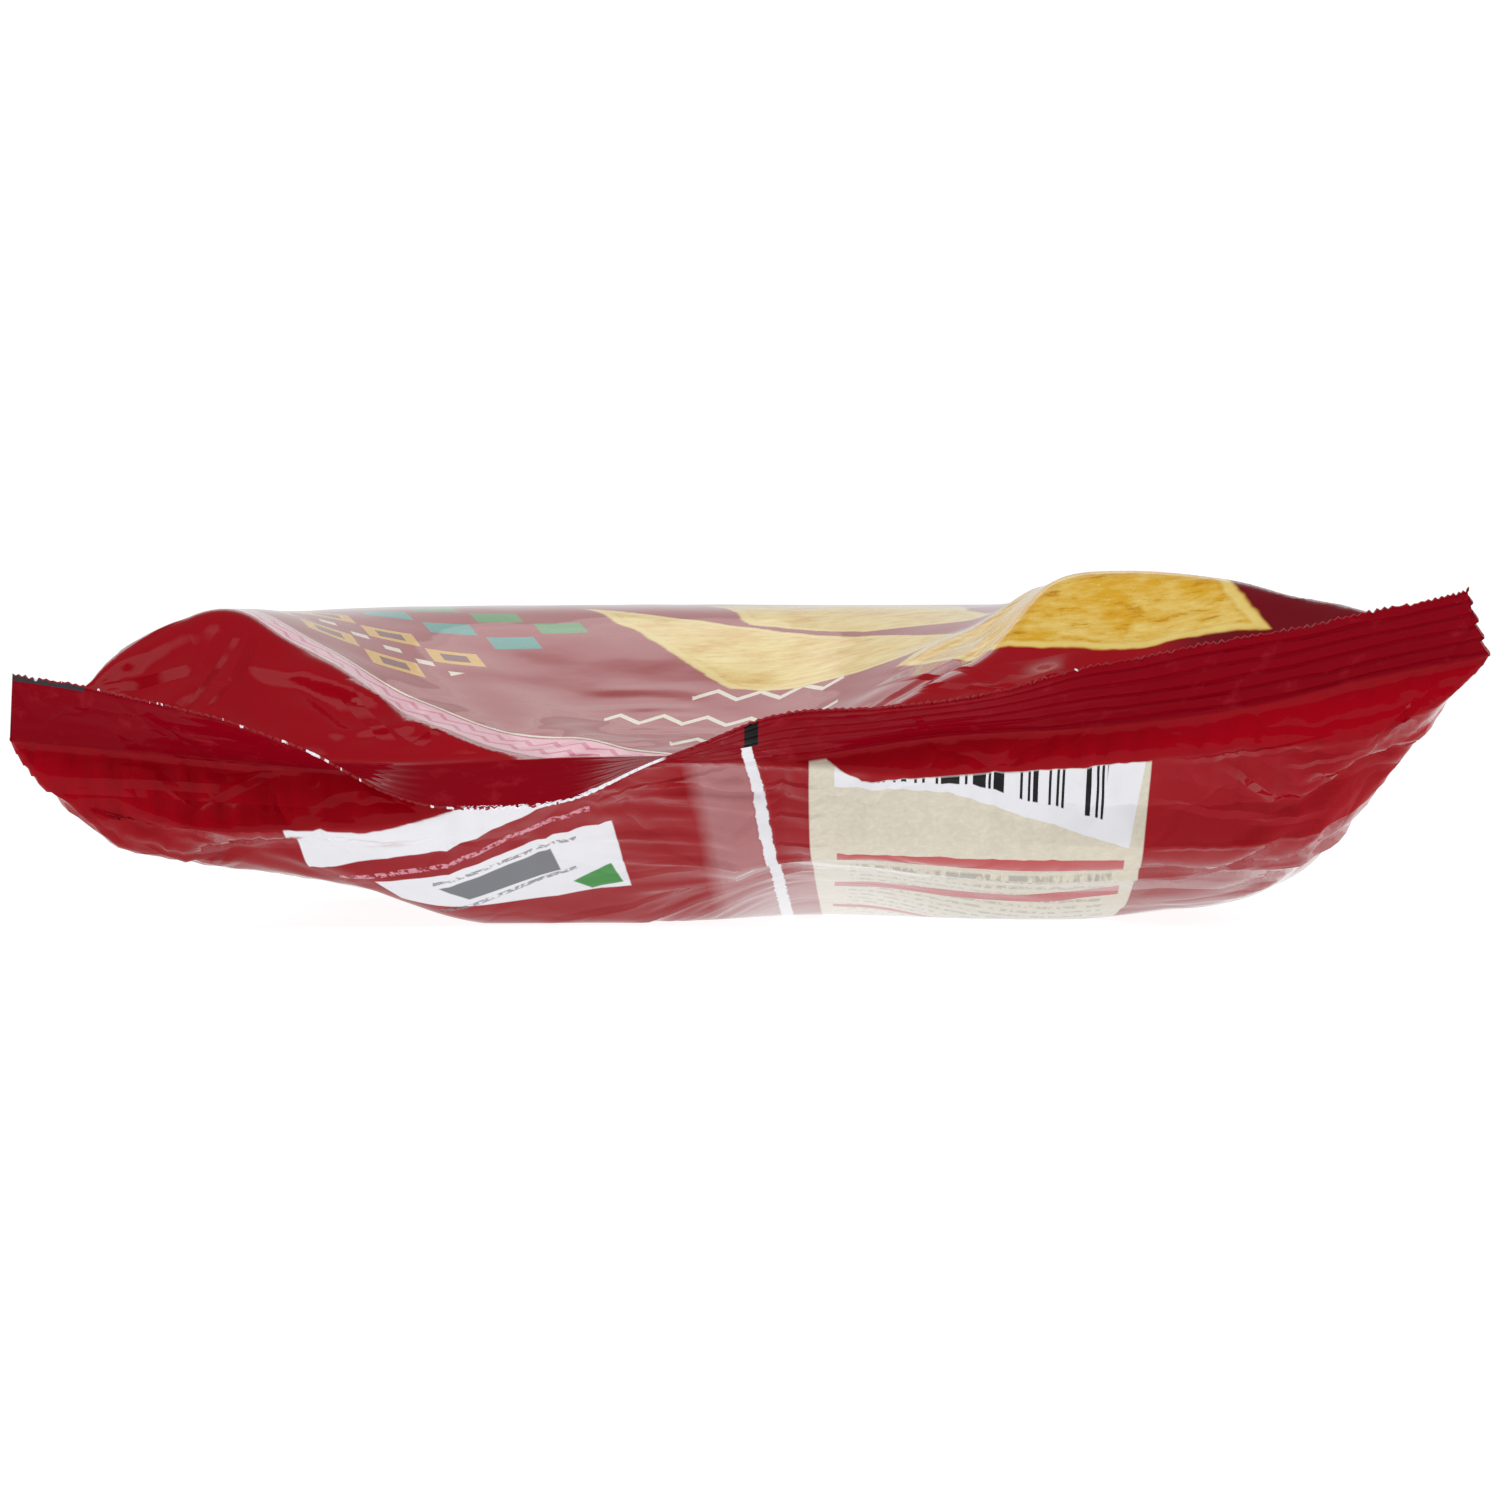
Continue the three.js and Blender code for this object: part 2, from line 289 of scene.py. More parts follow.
def root_y(end, x):
    return end.side * (HALF_LENGTH - end.root_setback(x))


def valley_climb(share):
    """How far a valley has climbed at a share of its reach: gently at first, steepest half way."""
    t = np.minimum(share, 1)
    return VALLEY_START * t * (1 - t) ** 2 + t * t * (3 - 2 * t)


def front_height(column, x, distances, side_height, unit_height, middle):
    """A flat top, a steep facet behind each seal and a valley between its ridges."""
    cap = TOP_HEIGHT + NearEnd.cheek(x, distances[0]) + FarEnd.cheek(x, distances[1])
    z = side_height * (1 - unit_height) + cap * unit_height
    for end, d in zip(ENDS, distances):
        root = end.root_height(x)
        soft = ease(d / 16) + 0.02
        slope = left_to_right(column, end.front_slope) * (0.25 + 0.75 * corner_fade(column))
        facet = root + slope * d
        dip = cap - (cap - root) * end.valley(x) * (1 - valley_climb(d / end.valley_reach))
        z = soft_lower(soft_lower(z, dip, 3 * soft), facet, 2 * soft)
    z = z + fold_relief(FRONT_FOLDS, x, distances[0]) + 0.8 * fold_relief(FRONT_FOLDS, -x, distances[1])
    return np.maximum(z, middle + BAND_THICKNESS / 2)


def back_height(column, x, distances, side_height, unit_height, middle):
    """A steep facet under each seal's lip, a gentle one, then the table."""
    z = side_height * (1 - TABLE_PRESS * unit_height)
    for end, d in zip(ENDS, distances):
        start = end.root_height(x) - end.lip(x) * corner_fade(column)
        soft = ease(d / 16) + 0.02
        steep = start - left_to_right(column, end.back_slope) * (0.1 + 0.9 * corner_fade(column) ** 2) * d
        under_start = start * left_to_right(column + 0.15, end.under_start)
        under = under_start - (left_to_right(column + 0.15, end.under_slope) + end.tuck(x)) * d
        z = soft_higher(z, soft_higher(steep, under, 3), 3 * soft) + end.hollow(x, d) * ease(d / 10)
    z = z + fold_relief(BACK_FOLDS, x, distances[0]) + 0.8 * fold_relief(BACK_FOLDS, -x, distances[1])
    return np.maximum(np.minimum(z, middle - BAND_THICKNESS / 2), 0)


def panel_points(column, is_back):
    """Dense film points of one panel, rows from the near root to the far root."""
    flat_x = column * HALF_WIDTH
    y_near = root_y(NearEnd, flat_x)
    y_far = root_y(FarEnd, flat_x)
    share = np.linspace(0, 1, PATH_STEPS + 1)[2:-2, None]
    y = y_near * (1 - share) + y_far * share
    distances = (y - y_near, y_far - y)
    inside = ease(np.minimum(*distances) / EAR_REACH)
    unit_x, unit_z = section(column, is_back)
    wave = np.sin(2 * math.pi * y / PUCKER_PITCH + column)
    pucker = PUCKER_HEIGHT * inside * bell((1 - np.abs(column)) / PUCKER_WIDTH) * wave
    x = flat_x * (1 - inside) + unit_x * HALF_BODY * inside - np.sign(column) * 0.4 * np.abs(pucker)
    corner = np.sign(column) * HALF_WIDTH + 0 * y
    side_height = pucker + middle_height(corner, distances)
    middle = pucker + middle_height(x, distances)
    height = back_height if is_back else front_height
    z = height(column, x, distances, side_height, unit_z, middle)
    return np.stack([x, y, z], -1)


def band_points(end, column, out, face):
    """Points of the sealed band at a distance out from the root, on its front (+1) or back (-1)."""
    x = column * HALF_WIDTH
    rise = end.rise(x)
    level = np.sqrt(1 - rise * rise)
    half = BAND_THICKNESS / 2 * face
    taper = np.where(column < 0, -BAND_END_TAPERS[0], BAND_END_TAPERS[1])
    taper = taper * np.abs(column) ** 21 * out / BAND_HEIGHT
    y = root_y(end, x) + end.side * (out * level - rise * half)
    return np.stack([x - taper, y, end.root_height(x) + out * rise + level * half], -1)


def lip_points(end, column):
    """The back panel hangs down from the root as a rounded lip before it turns in."""
    x = column * HALF_WIDTH
    drop = end.lip(x) * corner_fade(column)
    rows = []
    for i in range(1, LIP_STEPS):
        share = i / LIP_STEPS
        bulge = LIP_BULGE * drop * math.sin(math.pi * share**1.3)
        z = end.root_height(x) - BAND_THICKNESS / 2 - drop * share
        rows.append(np.stack([x, root_y(end, x) + end.side * bulge, z], -1))
    return np.stack(rows)


def row_places(rows):
    """Distances along the film of its rows of points, closer together towards both ends."""
    share = np.linspace(0, 1, rows + 1)
    crowd = END_CROWDING * np.sin(2 * math.pi * share) / (2 * math.pi)
    return FILM_LENGTH * (share - crowd)


def panel_grid(columns, rows, is_back):
    """Panel points at the same shares of film along each column, from root to root."""
    column = np.linspace(-1, 1, columns + 1)
    face = -1 if is_back else 1
    parts = [band_points(NearEnd, column, 0, face)[None]]
    if is_back:
        parts.append(lip_points(NearEnd, column))
    parts.append(panel_points(column, is_back))
    if is_back:
        parts.append(lip_points(FarEnd, column)[::-1])
    parts.append(band_points(FarEnd, column, 0, face)[None])
    path = np.concatenate(parts)
    steps = np.linalg.norm(np.diff(path, axis=0), axis=-1)
    run = np.concatenate([np.zeros((1, columns + 1)), np.cumsum(steps, 0)])
    share = row_places(rows) / FILM_LENGTH
    grid = np.zeros((rows + 1, columns + 1, 3))
    for i in range(columns + 1):
        for axis in range(3):
            grid[:, i, axis] = np.interp(share * run[-1, i], run[:, i], path[:, i, axis])
    return grid


# Film relaxation
def smooth_noise(rng, shape, passes):
    noise = rng.standard_normal(shape)
    for _ in range(passes):
        padded = np.pad(noise, ((0, 0), (1, 1), (1, 1)), mode="edge")
        beside_rows = padded[:, :-2, 1:-1] + padded[:, 2:, 1:-1]
        noise = (beside_rows + padded[:, 1:-1, :-2] + padded[:, 1:-1, 2:]) / 4
    return noise / noise.std()


def excess(columns, rows):
    """How much longer the film is than the smooth form, across and along, for both panels."""
    column = np.linspace(-1, 1, columns + 1)[None, None, :]
    along = row_places(rows)[None, :, None]
    x = column * HALF_WIDTH
    is_back = np.array([0.0, 1.0])[:, None, None]
    end_gap = np.minimum(along, FILM_LENGTH - along)
    near_ends = bell(end_gap / 30)
    sides = bell((1 - np.abs(column)) / 0.16)
    corners = bell(end_gap / 45) * bell((1 - np.abs(column)) / 0.35)
    fin = is_back * bell((x + 5) / 12) * bell((along - 28) / 34)
    across = 0.006 + (0.018 + 0.018 * is_back) * near_ends + 0.03 * corners
    lengthwise = 0.008 + 0.07 * sides * (1 - near_ends) + 0.04 * corners + 0.09 * fin
    return across, lengthwise


def pull_together(grid, first, second, rest):
    """Moves two sets of film points to their film distance: it can't stretch, but it can give."""
    a = grid[first]
    b = grid[second]
    gap = b - a
    length = np.linalg.norm(gap, axis=-1)
    off = (length - rest) / length
    off = np.where(off > 0, off, off * SQUEEZE) * 0.5
    move = gap * off[..., None]
    grid[first] = a + move
    grid[second] = b - move


def pair_slices(step_row, step_column, rows, columns):
    """Pairs of neighbours, in sets that share no point."""
    every = slice(None)
    lower = slice(0, rows)
    upper = slice(1, rows + 1)
    row_pairs = {0: (every, every), 1: (lower, upper), -1: (upper, lower)}
    sets = []
    for start in (0, 1):
        if step_column == 0:
            row_pair = (slice(start, rows, 2), slice(start + 1, rows + 1, 2))
            column_pair = (every, every)
        else:
            row_pair = row_pairs[step_row]
            column_pair = (slice(start, columns, 2), slice(start + 1, columns + 1, 2))
        sets.append([(every, row, column) for row, column in zip(row_pair, column_pair)])
    return sets


def rest_lengths(goal, across, lengthwise, sets, step_row, step_column):
    """Film distance of each pair: the smooth form's distance with its share of excess."""
    rests = []
    extra = across * abs(step_column) + lengthwise * abs(step_row)
    stretch = 1 + extra / (abs(step_row) + abs(step_column))
    for first, second in sets:
        gap = np.linalg.norm(goal[second] - goal[first], axis=-1)
        rests.append(gap * stretch[first])
    return rests


def normals_of(grid):
    """Outward normals of both panels."""
    along = np.gradient(grid, axis=1)
    across = np.gradient(grid, axis=2)
    normal = np.cross(across, along)
    normal /= np.linalg.norm(normal, axis=-1, keepdims=True) + 1e-9
    normal[1] *= -1
    return normal


def freedom(columns, rows):
    """How far the film may leave its smooth form, in millimetres: hardly at the bands and the lips."""
    x = np.linspace(-1, 1, columns + 1)[None, :] * HALF_WIDTH
    along = row_places(rows)[:, None]
    panels = []
    for is_back in (0, 1):
        near = along - is_back * NearEnd.lip(x)
        far = FILM_LENGTH - along - is_back * FarEnd.lip(x)
        panels.append(TIED_FREEDOM + (FREEDOM - TIED_FREEDOM) * ease(np.minimum(near, far) / 14))
    return np.stack(panels)


def join_sides(film):
    """Both panels share the points of the side edges."""
    for edge in (0, -1):
        film[:, 1:-1, edge] = film[:, 1:-1, edge].mean(0)


def keep_apart(film):
    """Keeps the film above the table and its two panels from passing through each other."""
    film[..., 2] = np.maximum(film[..., 2], 0)
    close = np.maximum(0, FILM_GAP - (film[0, ..., 2] - film[1, ..., 2])) / 2
    close[0] = close[-1] = 0
    close[:, 0] = close[:, -1] = 0
    film[0, ..., 2] += close
    film[1, ..., 2] -= close


def relax(goal, shift, passes, rng):
    """Lets the film buckle about its smooth form where it has more length than it needs."""
    rows = goal.shape[1] - 1
    columns = goal.shape[2] - 1
    across, lengthwise = excess(columns, rows)
    normal = normals_of(goal)
    spacing = 2 * HALF_WIDTH / columns
    noise = smooth_noise(rng, goal.shape[:3], 4)
    film = goal + shift + normal * (noise * FIRST_BUCKLES * spacing)[..., None]
    families = []
    for step_row, step_column in ((0, 1), (1, 0), (1, 1), (-1, 1)):
        sets = pair_slices(step_row, step_column, rows, columns)
        rests = rest_lengths(goal, across, lengthwise, sets, step_row, step_column)
        families.append((sets, rests))
    reach = freedom(columns, rows)[..., None]
    for _ in range(passes):
        for sets, rests in families:
            for (first, second), rest in zip(sets, rests):
                pull_together(film, first, second, rest)
        move = film - goal
        bend = np.zeros_like(move)
        bend[:, 1:-1] += (move[:, :-2] + move[:, 2:]) / 2 - move[:, 1:-1]
        bend[:, :, 1:-1] += (move[:, :, :-2] + move[:, :, 2:]) / 2 - move[:, :, 1:-1]
        move = (move + STIFFNESS * bend) * CALMING
        size = np.linalg.norm(move, axis=-1, keepdims=True)
        move *= np.minimum(1, reach / (size + 1e-9))
        move[:, 0] = 0
        move[:, -1] = 0
        film = goal + move
        join_sides(film)
        keep_apart(film)
    return film


def doubled(shift):
    """The shift field on a grid that is twice as fine."""
    for axis in (1, 2):
        coarse = np.moveaxis(shift, axis, 0)
        finer = np.zeros((2 * len(coarse) - 1, *coarse.shape[1:]))
        finer[::2] = coarse
        finer[1::2] = (coarse[:-1] + coarse[1:]) / 2
        shift = np.moveaxis(finer, 0, axis)
    return shift


# Creases in the film: start and end as x and distance along the film, how far the fold stands out
# (+) or in (-), and how wide its steep side is. The other side is GENTLE times as wide.
GENTLE = 2.6
FRONT_CREASES = (
    (-90, 14, -76, 25, 0.8, 3.0),
    (-78, 6, -70, 24, -1.3, 2.6),
    (-84, 4, -72, 17, 0.7, 2.2),
    (-70, 20, -44, 12, 0.9, 2.4),
    (-62, 17, -52, 5, -1.2, 2.6),
    (-58, 6, -44, 10, 0.7, 1.8),
    (-50, 14, -46, 3, -0.7, 1.6),
    (-96, 6, -84, 16, -0.7, 2.4),
    (24, 4, 44, 13, 0.7, 1.8),
    (30, 12, 50, 5, -0.8, 2.0),
    (36, 3, 46, 19, 0.6, 1.6),
    (52, 4, 72, 17, -0.7, 2.2),
    (12, 9, 40, 40, 0.9, 3.4),
    (20, 34, 44, 62, 0.7, 3.0),
)
BACK_CREASES = (
    (-96, 12, -70, 22, 0.9, 2.4),
    (-94, 8, -66, 13, -0.8, 2.0),
    (-90, 18, -60, 34, 0.8, 2.6),
    (-84, 22, -52, 58, -0.7, 3.0),
    (-78, 12, -70, 30, 0.6, 2.0),
    (96, 12, 74, 17, 1.2, 2.2),
    (97, 10, 66, 24, -1.1, 2.4),
    (92, 14, 70, 34, 1.0, 2.4),
    (88, 20, 68, 52, -0.8, 2.6),
    (80, 18, 74, 46, 0.7, 2.2),
    (97, 20, 80, 40, 0.9, 2.4),
    (10, 30, 96, 36, 0.9, 2.0),
    (-36, 2, -4, 10, 0.5, 1.6),
)


def crease_relief(creases, x, along):
    """How far the folds lift the film at each point."""
    relief = np.zeros(np.broadcast_shapes(x.shape, along.shape))
    for x0, s0, x1, s1, height, width in creases:
        run_x, run_s = x1 - x0, s1 - s0
        length = math.hypot(run_x, run_s)
        share = ((x - x0) * run_x + (along - s0) * run_s) / length**2
        aside = ((x - x0) * run_s - (along - s0) * run_x) / length
        fade = np.sin(math.pi * np.clip(share, 0, 1)) ** 0.6
        wide = np.where(aside > 0, width, width * GENTLE)
        relief += height * fade * np.clip(1 - np.abs(aside) / wide, 0, 1) ** 1.4
    return relief


# Random creases: how many leave each seal, leave each seal's corners and lie all over, and how
# much of them shows on the smooth front
SEAL_CREASES = 46
CORNER_CREASES = 26
FAINT_CREASES = 70
FRONT_CALM = 0.25


def scattered_creases(rng):
    """Short creases that leave the seals, long ones from the corners, faint ones all over."""
    creases = []
    for end in (0, 1):
        for _ in range(SEAL_CREASES):
            turn = rng.normal(0, 0.5)
            length = rng.uniform(7, 30)
            place = (rng.uniform(-97, 97), rng.uniform(0, 10))
            creases.append((*place, turn, length, 0.3, (0.7, 1.8), end))
        for _ in range(CORNER_CREASES):
            side = rng.choice((-1, 1))
            turn = -side * rng.uniform(0.15, 1.35)
            length = rng.uniform(18, 62)
            place = (side * rng.uniform(90, 99), rng.uniform(0, 14))
            creases.append((*place, turn, length, 0.6, (1.2, 3.0), end))
    for _ in range(FAINT_CREASES):
        turn = rng.uniform(-math.pi / 2, math.pi / 2)
        place = (rng.uniform(-95, 95), rng.uniform(20, 248))
        creases.append((*place, turn, rng.uniform(12, 45), 0.3, (2.0, 6.0), 0))
    for along in np.arange(7, 48, 5.0):
        turn = rng.normal(-math.pi / 2, 0.1)
        creases.append((rng.uniform(-8, -4), along, turn, rng.uniform(14, 24), 0.6, (1.8, 2.6), 0))
    made = []
    for x, start, turn, length, height, widths, end in creases:
        x1 = x + length * math.sin(turn)
        stop = start + length * math.cos(turn)
        if end:
            start, stop = FILM_LENGTH - start, FILM_LENGTH - stop
        height *= rng.choice((-1, 1)) * rng.uniform(0.35, 1)
        made.append((x, start, x1, stop, height, rng.uniform(*widths)))
    return made


def creased(film):
    """The film with its creases pressed in, none of them at the roots of the bands."""
    rng = np.random.default_rng(SEED + 2)
    columns = film.shape[2] - 1
    x = np.linspace(-1, 1, columns + 1)[None, :] * HALF_WIDTH
    along = row_places(film.shape[1] - 1)[:, None]
    end_gap = np.minimum(along, FILM_LENGTH - along)
    hold = ease(end_gap / 2.5) * ease((100 - np.abs(x)) / 2.0)
    normal = normals_of(film)
    made = film.copy()
    for panel, placed in enumerate((FRONT_CREASES, BACK_CREASES)):
        scattered = crease_relief(scattered_creases(rng), x, along)
        calm = FRONT_CALM if panel == 0 else 1.0
        relief = crease_relief(placed, x, along) + calm * scattered
        made[panel] += normal[panel] * (relief * hold)[..., None]
    keep_apart(made)
    return made


def relaxed_film():
    rng = np.random.default_rng(SEED)
    shift = None
    for columns, rows, passes in LEVELS:
        goal = np.stack([panel_grid(columns, rows, False), panel_grid(columns, rows, True)])
        join_sides(goal)
        shift = np.zeros_like(goal) if shift is None else doubled(shift)
        film = relax(goal, shift, passes, rng)
        shift = film - goal
    return creased(film)


# Mesh of the visual bag
BAND_RIB_ROWS = 19
TEETH_START = BAND_HEIGHT - 0.8
TEETH_SPREAD = 0.12
CUT_THICKNESS = 0.35
RIB_PITCH = 2.2
RIB_RELIEF = 0.2
TOOTH_DEPTH = 0.45
END_STEP = 0.9
STEP_PITCH = 2.7
FRONT_INK, BACK_INK, CUT_INK = 0, 1, 2
RIB_PLACES = TEETH_START * np.arange(1, BAND_RIB_ROWS) / (BAND_RIB_ROWS - 1)


def band_row(end, column, out, face):
    """One row of a band's face, with its ribs, at a distance out from the root."""
    front = band_points(end, column, out, 1)
    back = band_points(end, column, out, -1)
    normal = front - back
    normal /= np.linalg.norm(normal, axis=-1, keepdims=True)
    share = out / BAND_HEIGHT
    half = 0.5 * (BAND_THICKNESS * (1 - share) + CUT_THICKNESS * share)
    x = column * HALF_WIDTH
    wobble = 0.25 * np.sin(x / 7.3 + 1.0) + 0.18 * np.sin(x / 3.1)
    crisp = 0.35 + 0.65 * ease((x + 30) / 70)
    step = END_STEP * ((out / STEP_PITCH) % 1) * (column > 0.999) * (end.side < 0)
    middle = (front + back) / 2 - np.stack([step, 0 * step, 0 * step], -1)
    rib = RIB_RELIEF * crisp * (0.4 - np.sin(math.pi * out / RIB_PITCH) ** 8) * ease(out / 1.2)
    lift = half * face + rib + wobble * ease(out / 3) * share
    return middle + normal * lift[..., None]


def tooth_row(end, column, face, offsets):
    """The cut edge with its teeth."""
    inner = band_row(end, column, TEETH_START, face)
    outer = band_row(end, column, BAND_HEIGHT, face)
    reach = 1 - TOOTH_DEPTH * (np.arange(len(column)) % 2) + offsets
    return inner + (outer - inner) * reach[:, None]


class MeshMaker:
    """Collects vertices with their film coordinates, and faces with their ink."""

    def __init__(self):
        self.points = []
        self.film = []
        self.faces = []
        self.inks = []
        self.count = 0

    def add_points(self, points, across, along):
        first = self.count
        flat = points.reshape(-1, 3)
        self.points.append(flat)
        shape = points.shape[:-1]
        across = np.broadcast_to(across, shape)
        along = np.broadcast_to(along, shape)
        end_gap = np.minimum(along, FILM_LENGTH - along)
        crumple = bell(end_gap / 26) + 0.6 * bell((1 - np.abs(across) / HALF_WIDTH) / 0.25)
        where = np.stack([across, along, np.clip(crumple, 0, 1)], -1)
        self.film.append(where.reshape(-1, 3))
        self.count += len(flat)
        return np.arange(first, self.count).reshape(shape)

    def add_face(self, corners, ink, flip):
        self.faces.append(corners[::-1] if flip else corners)
        self.inks.append(ink)

    def add_grid(self, index, ink, flip):
        """Faces between neighbouring rows and columns of points."""
        a = index[:-1, :-1]
        b = index[:-1, 1:]
        c = index[1:, 1:]
        d = index[1:, :-1]
        order = (a, d, c, b) if flip else (a, b, c, d)
        quads = np.stack(order, -1).reshape(-1, 4)
        self.faces.extend(quads.tolist())
        self.inks.extend([ink] * len(quads))


def bag_mesh(film):
    """One closed mesh: both panels, both ribbed bands and the toothed cut edges."""
    rng = np.random.default_rng(SEED + 1)
    made = MeshMaker()
    rows = film.shape[1] - 1
    columns = film.shape[2] - 1
    column = np.linspace(-1, 1, columns + 1)
    tooth_column = np.linspace(-1, 1, 2 * columns + 1)
    across = column * HALF_WIDTH
    along = row_places(rows)[:, None]
    front = made.add_points(film[0], across, along)
    back = made.add_points(film[1], across, along)
    back[1:-1, 0] = front[1:-1, 0]
    back[1:-1, -1] = front[1:-1, -1]
    made.add_grid(front, FRONT_INK, False)
    made.add_grid(back, BACK_INK, True)
    for end, row in ((NearEnd, 0), (FarEnd, -1)):
        near = end.side < 0
        offsets = TEETH_SPREAD * rng.standard_normal(len(tooth_column))
        edges = []
        for face, panel, ink in ((1, front, FRONT_INK), (-1, back, BACK_INK)):
            points = np.stack([band_row(end, column, out, face) for out in RIB_PLACES])
            along_band = -RIB_PLACES if near else FILM_LENGTH + RIB_PLACES
            index = made.add_points(points, across, along_band[:, None])
            index = np.concatenate([panel[row][None], index])
            made.add_grid(index, ink, (face > 0) == near)
            teeth = tooth_row(end, tooth_column, face, offsets)
            along_teeth = -BAND_HEIGHT if near else FILM_LENGTH + BAND_HEIGHT
            tip = made.add_points(teeth, tooth_column * HALF_WIDTH, along_teeth)
            last = index[-1]
            for i in range(columns):
                corners = [last[i], last[i + 1], tip[2 * i + 2], tip[2 * i + 1], tip[2 * i]]
                made.add_face(corners, ink, (face > 0) == near)
            edges.append((index, tip))
        (index_a, tip_a), (index_b, tip_b) = edges
        made.add_grid(np.array([tip_a, tip_b]), CUT_INK, near)
        for edge in (0, -1):
            side_a = [*index_a[:, edge], tip_a[edge]]
            side_b = [*index_b[:, edge], tip_b[edge]]
            flip = (edge == 0) != near
            made.add_grid(np.array([side_a, side_b]), BACK_INK, flip)
            inner = front[1 if near else -2, edge]
            corners = [front[row, edge], back[row, edge], inner]
            made.add_face(corners, BACK_INK, flip)
    return made


# Places on the print map: where the film starts and how much of the height it takes, then the same
# of the cut edges
MAP_FILM = (0.01, 0.93)
MAP_CUT = (0.96, 0.03)
MAP_WIDTH = 0.49


def add_print_map(mesh, film):
    """A flat map of the film: front in the left half, back in the right half, cut edges on top."""
    corner = np.zeros(len(mesh.loops), dtype=np.int32)
    mesh.loops.foreach_get("vertex_index", corner)
    ink = np.zeros(len(mesh.polygons), dtype=np.int32)
    mesh.polygons.foreach_get("material_index", ink)
    sizes = np.zeros(len(mesh.polygons), dtype=np.int32)
    mesh.polygons.foreach_get("loop_total", sizes)
    ink = np.repeat(ink, sizes)
    across = 0.5 + MAP_WIDTH * film[corner, 0] / HALF_WIDTH
    whole = FILM_LENGTH + 2 * BAND_HEIGHT
    along = MAP_FILM[0] + MAP_FILM[1] * (film[corner, 1] + BAND_HEIGHT) / whole
    along_cut = MAP_CUT[0] + MAP_CUT[1] * film[corner, 1] / whole
    along = np.where(ink == CUT_INK, along_cut, along)
    u = 0.5 * across + 0.5 * (ink == BACK_INK)
    layer = mesh.uv_layers.new(name="OFBake")
    layer.data.foreach_set("uv", np.stack([u, along], -1).astype(np.float32).ravel())


def placed(name, data, place=(0, 0, 0), turn=(0, 0, 0)):
    """A new object in the scene."""
    made = bpy.data.objects.new(name, data)
    made.location = place
    made.rotation_euler = turn
    bpy.context.scene.collection.objects.link(made)
    return made


def bag_object(made, inks):
    """The bag's object, with its film coordinates kept at every point."""
    points = np.concatenate(made.points) * MM
    points[:, 1] -= CENTRE_Y * MM
    mesh = bpy.data.meshes.new("bag_film")
    mesh.from_pydata(points.tolist(), [], [[int(i) for i in face] for face in made.faces])
    for ink in inks:
        mesh.materials.append(ink)
    mesh.polygons.foreach_set("material_index", np.array(made.inks, dtype=np.int32))
    mesh.polygons.foreach_set("use_smooth", np.array(made.inks) != CUT_INK)
    where = mesh.attributes.new("film", "FLOAT_VECTOR", "POINT")
    film = np.concatenate(made.film).astype(np.float32)
    where.data.foreach_set("vector", film.ravel())
    add_print_map(mesh, film)
    mesh.validate()
    mesh.update()
    return placed("bag_film", mesh)


# Materials
def srgb(r, g, b):
    """A colour given as screen values from 0 to 255, as the renderer's linear values."""
    linear = []
    for value in (r / 255, g / 255, b / 255):
        linear.append(value / 12.92 if value <= 0.04045 else ((value + 0.055) / 1.055) ** 2.4)
    return (*linear, 1.0)


RED = srgb(158, 3, 20)
DEEP_RED = srgb(142, 2, 18)
# Painted shade: the darker red of the sealed bands
PAINTED_SHADE_BAND_RED = srgb(134, 2, 20)
WORN_RED = srgb(176, 44, 58)
MAROON = srgb(112, 6, 22)
CREAM = srgb(228, 220, 200)
LABEL_WHITE = srgb(236, 237, 242)
BLACK = srgb(18, 16, 18)
GREY = srgb(120, 122, 128)
PALE_GREY = srgb(176, 172, 166)
GREEN = srgb(70, 146, 70)
ROSE = srgb(206, 96, 122)
STRIPE_RED = srgb(190, 40, 54)
TEAL = srgb(60, 150, 140)
PINK = srgb(232, 168, 184)
GOLD = srgb(220, 168, 44)
PALE_GOLD = srgb(242, 220, 136)
BROWN = srgb(160, 92, 14)
SILVER = srgb(58, 58, 64)
# Paler lap beside the fin, partly its own tone and partly painted reflection: the whitish veil the film
# shows there
LAP_AND_VEIL_PINK = srgb(206, 176, 178)

# Gloss of the film, its soft relief and the grooves of the bands
FILM_IOR = 1.45
FILM_ROUGHNESS = 0.04
PRINT_ROUGHNESS = 0.5
SOFT_RELIEF = 0.35
CELL_EDGE = 0.12
CRUMPLE = 1.8
GROOVE_PITCH = 2.1
GROOVE_WIDTH = 0.4
GROOVE_DEPTH = 0.25
BAND_GLOSS = 0.35

# Sharp creases pressed into the film: start and end as x and distance along the film, height of
# the crest and width of its steep side.
FRONT_MARKS = (
    (-89, 13.0, -75, 18.5, 0.8, 2.2),
    (-77, 9.0, -70, 25.5, 0.5, 0.9),
    (-74.5, 8.5, -71, 15.0, 0.35, 0.7),
    (-71.5, 14.5, -68.5, 25.0, 0.7, 1.7),
    (-55.5, 16.8, -47, 4.6, 0.9, 2.1),
    (-46, 5.5, -41.5, 9.5, 0.7, 1.7),
    (-87, 18.0, -77, 29.0, 0.35, 1.2),
    (-66, 12.0, -56, 9.5, 0.25, 2.6),
    (18, 30.0, 34, 12.0, 0.8, 2.0),
    (22, 14.0, 38, 8.5, 0.6, 1.5),
    (30, 10.5, 48, 14.0, 0.7, 1.8),
    (44, 8.0, 60, 12.0, 0.5, 1.3),
    (14, 12.0, 26, 6.0, 0.5, 1.2),
)
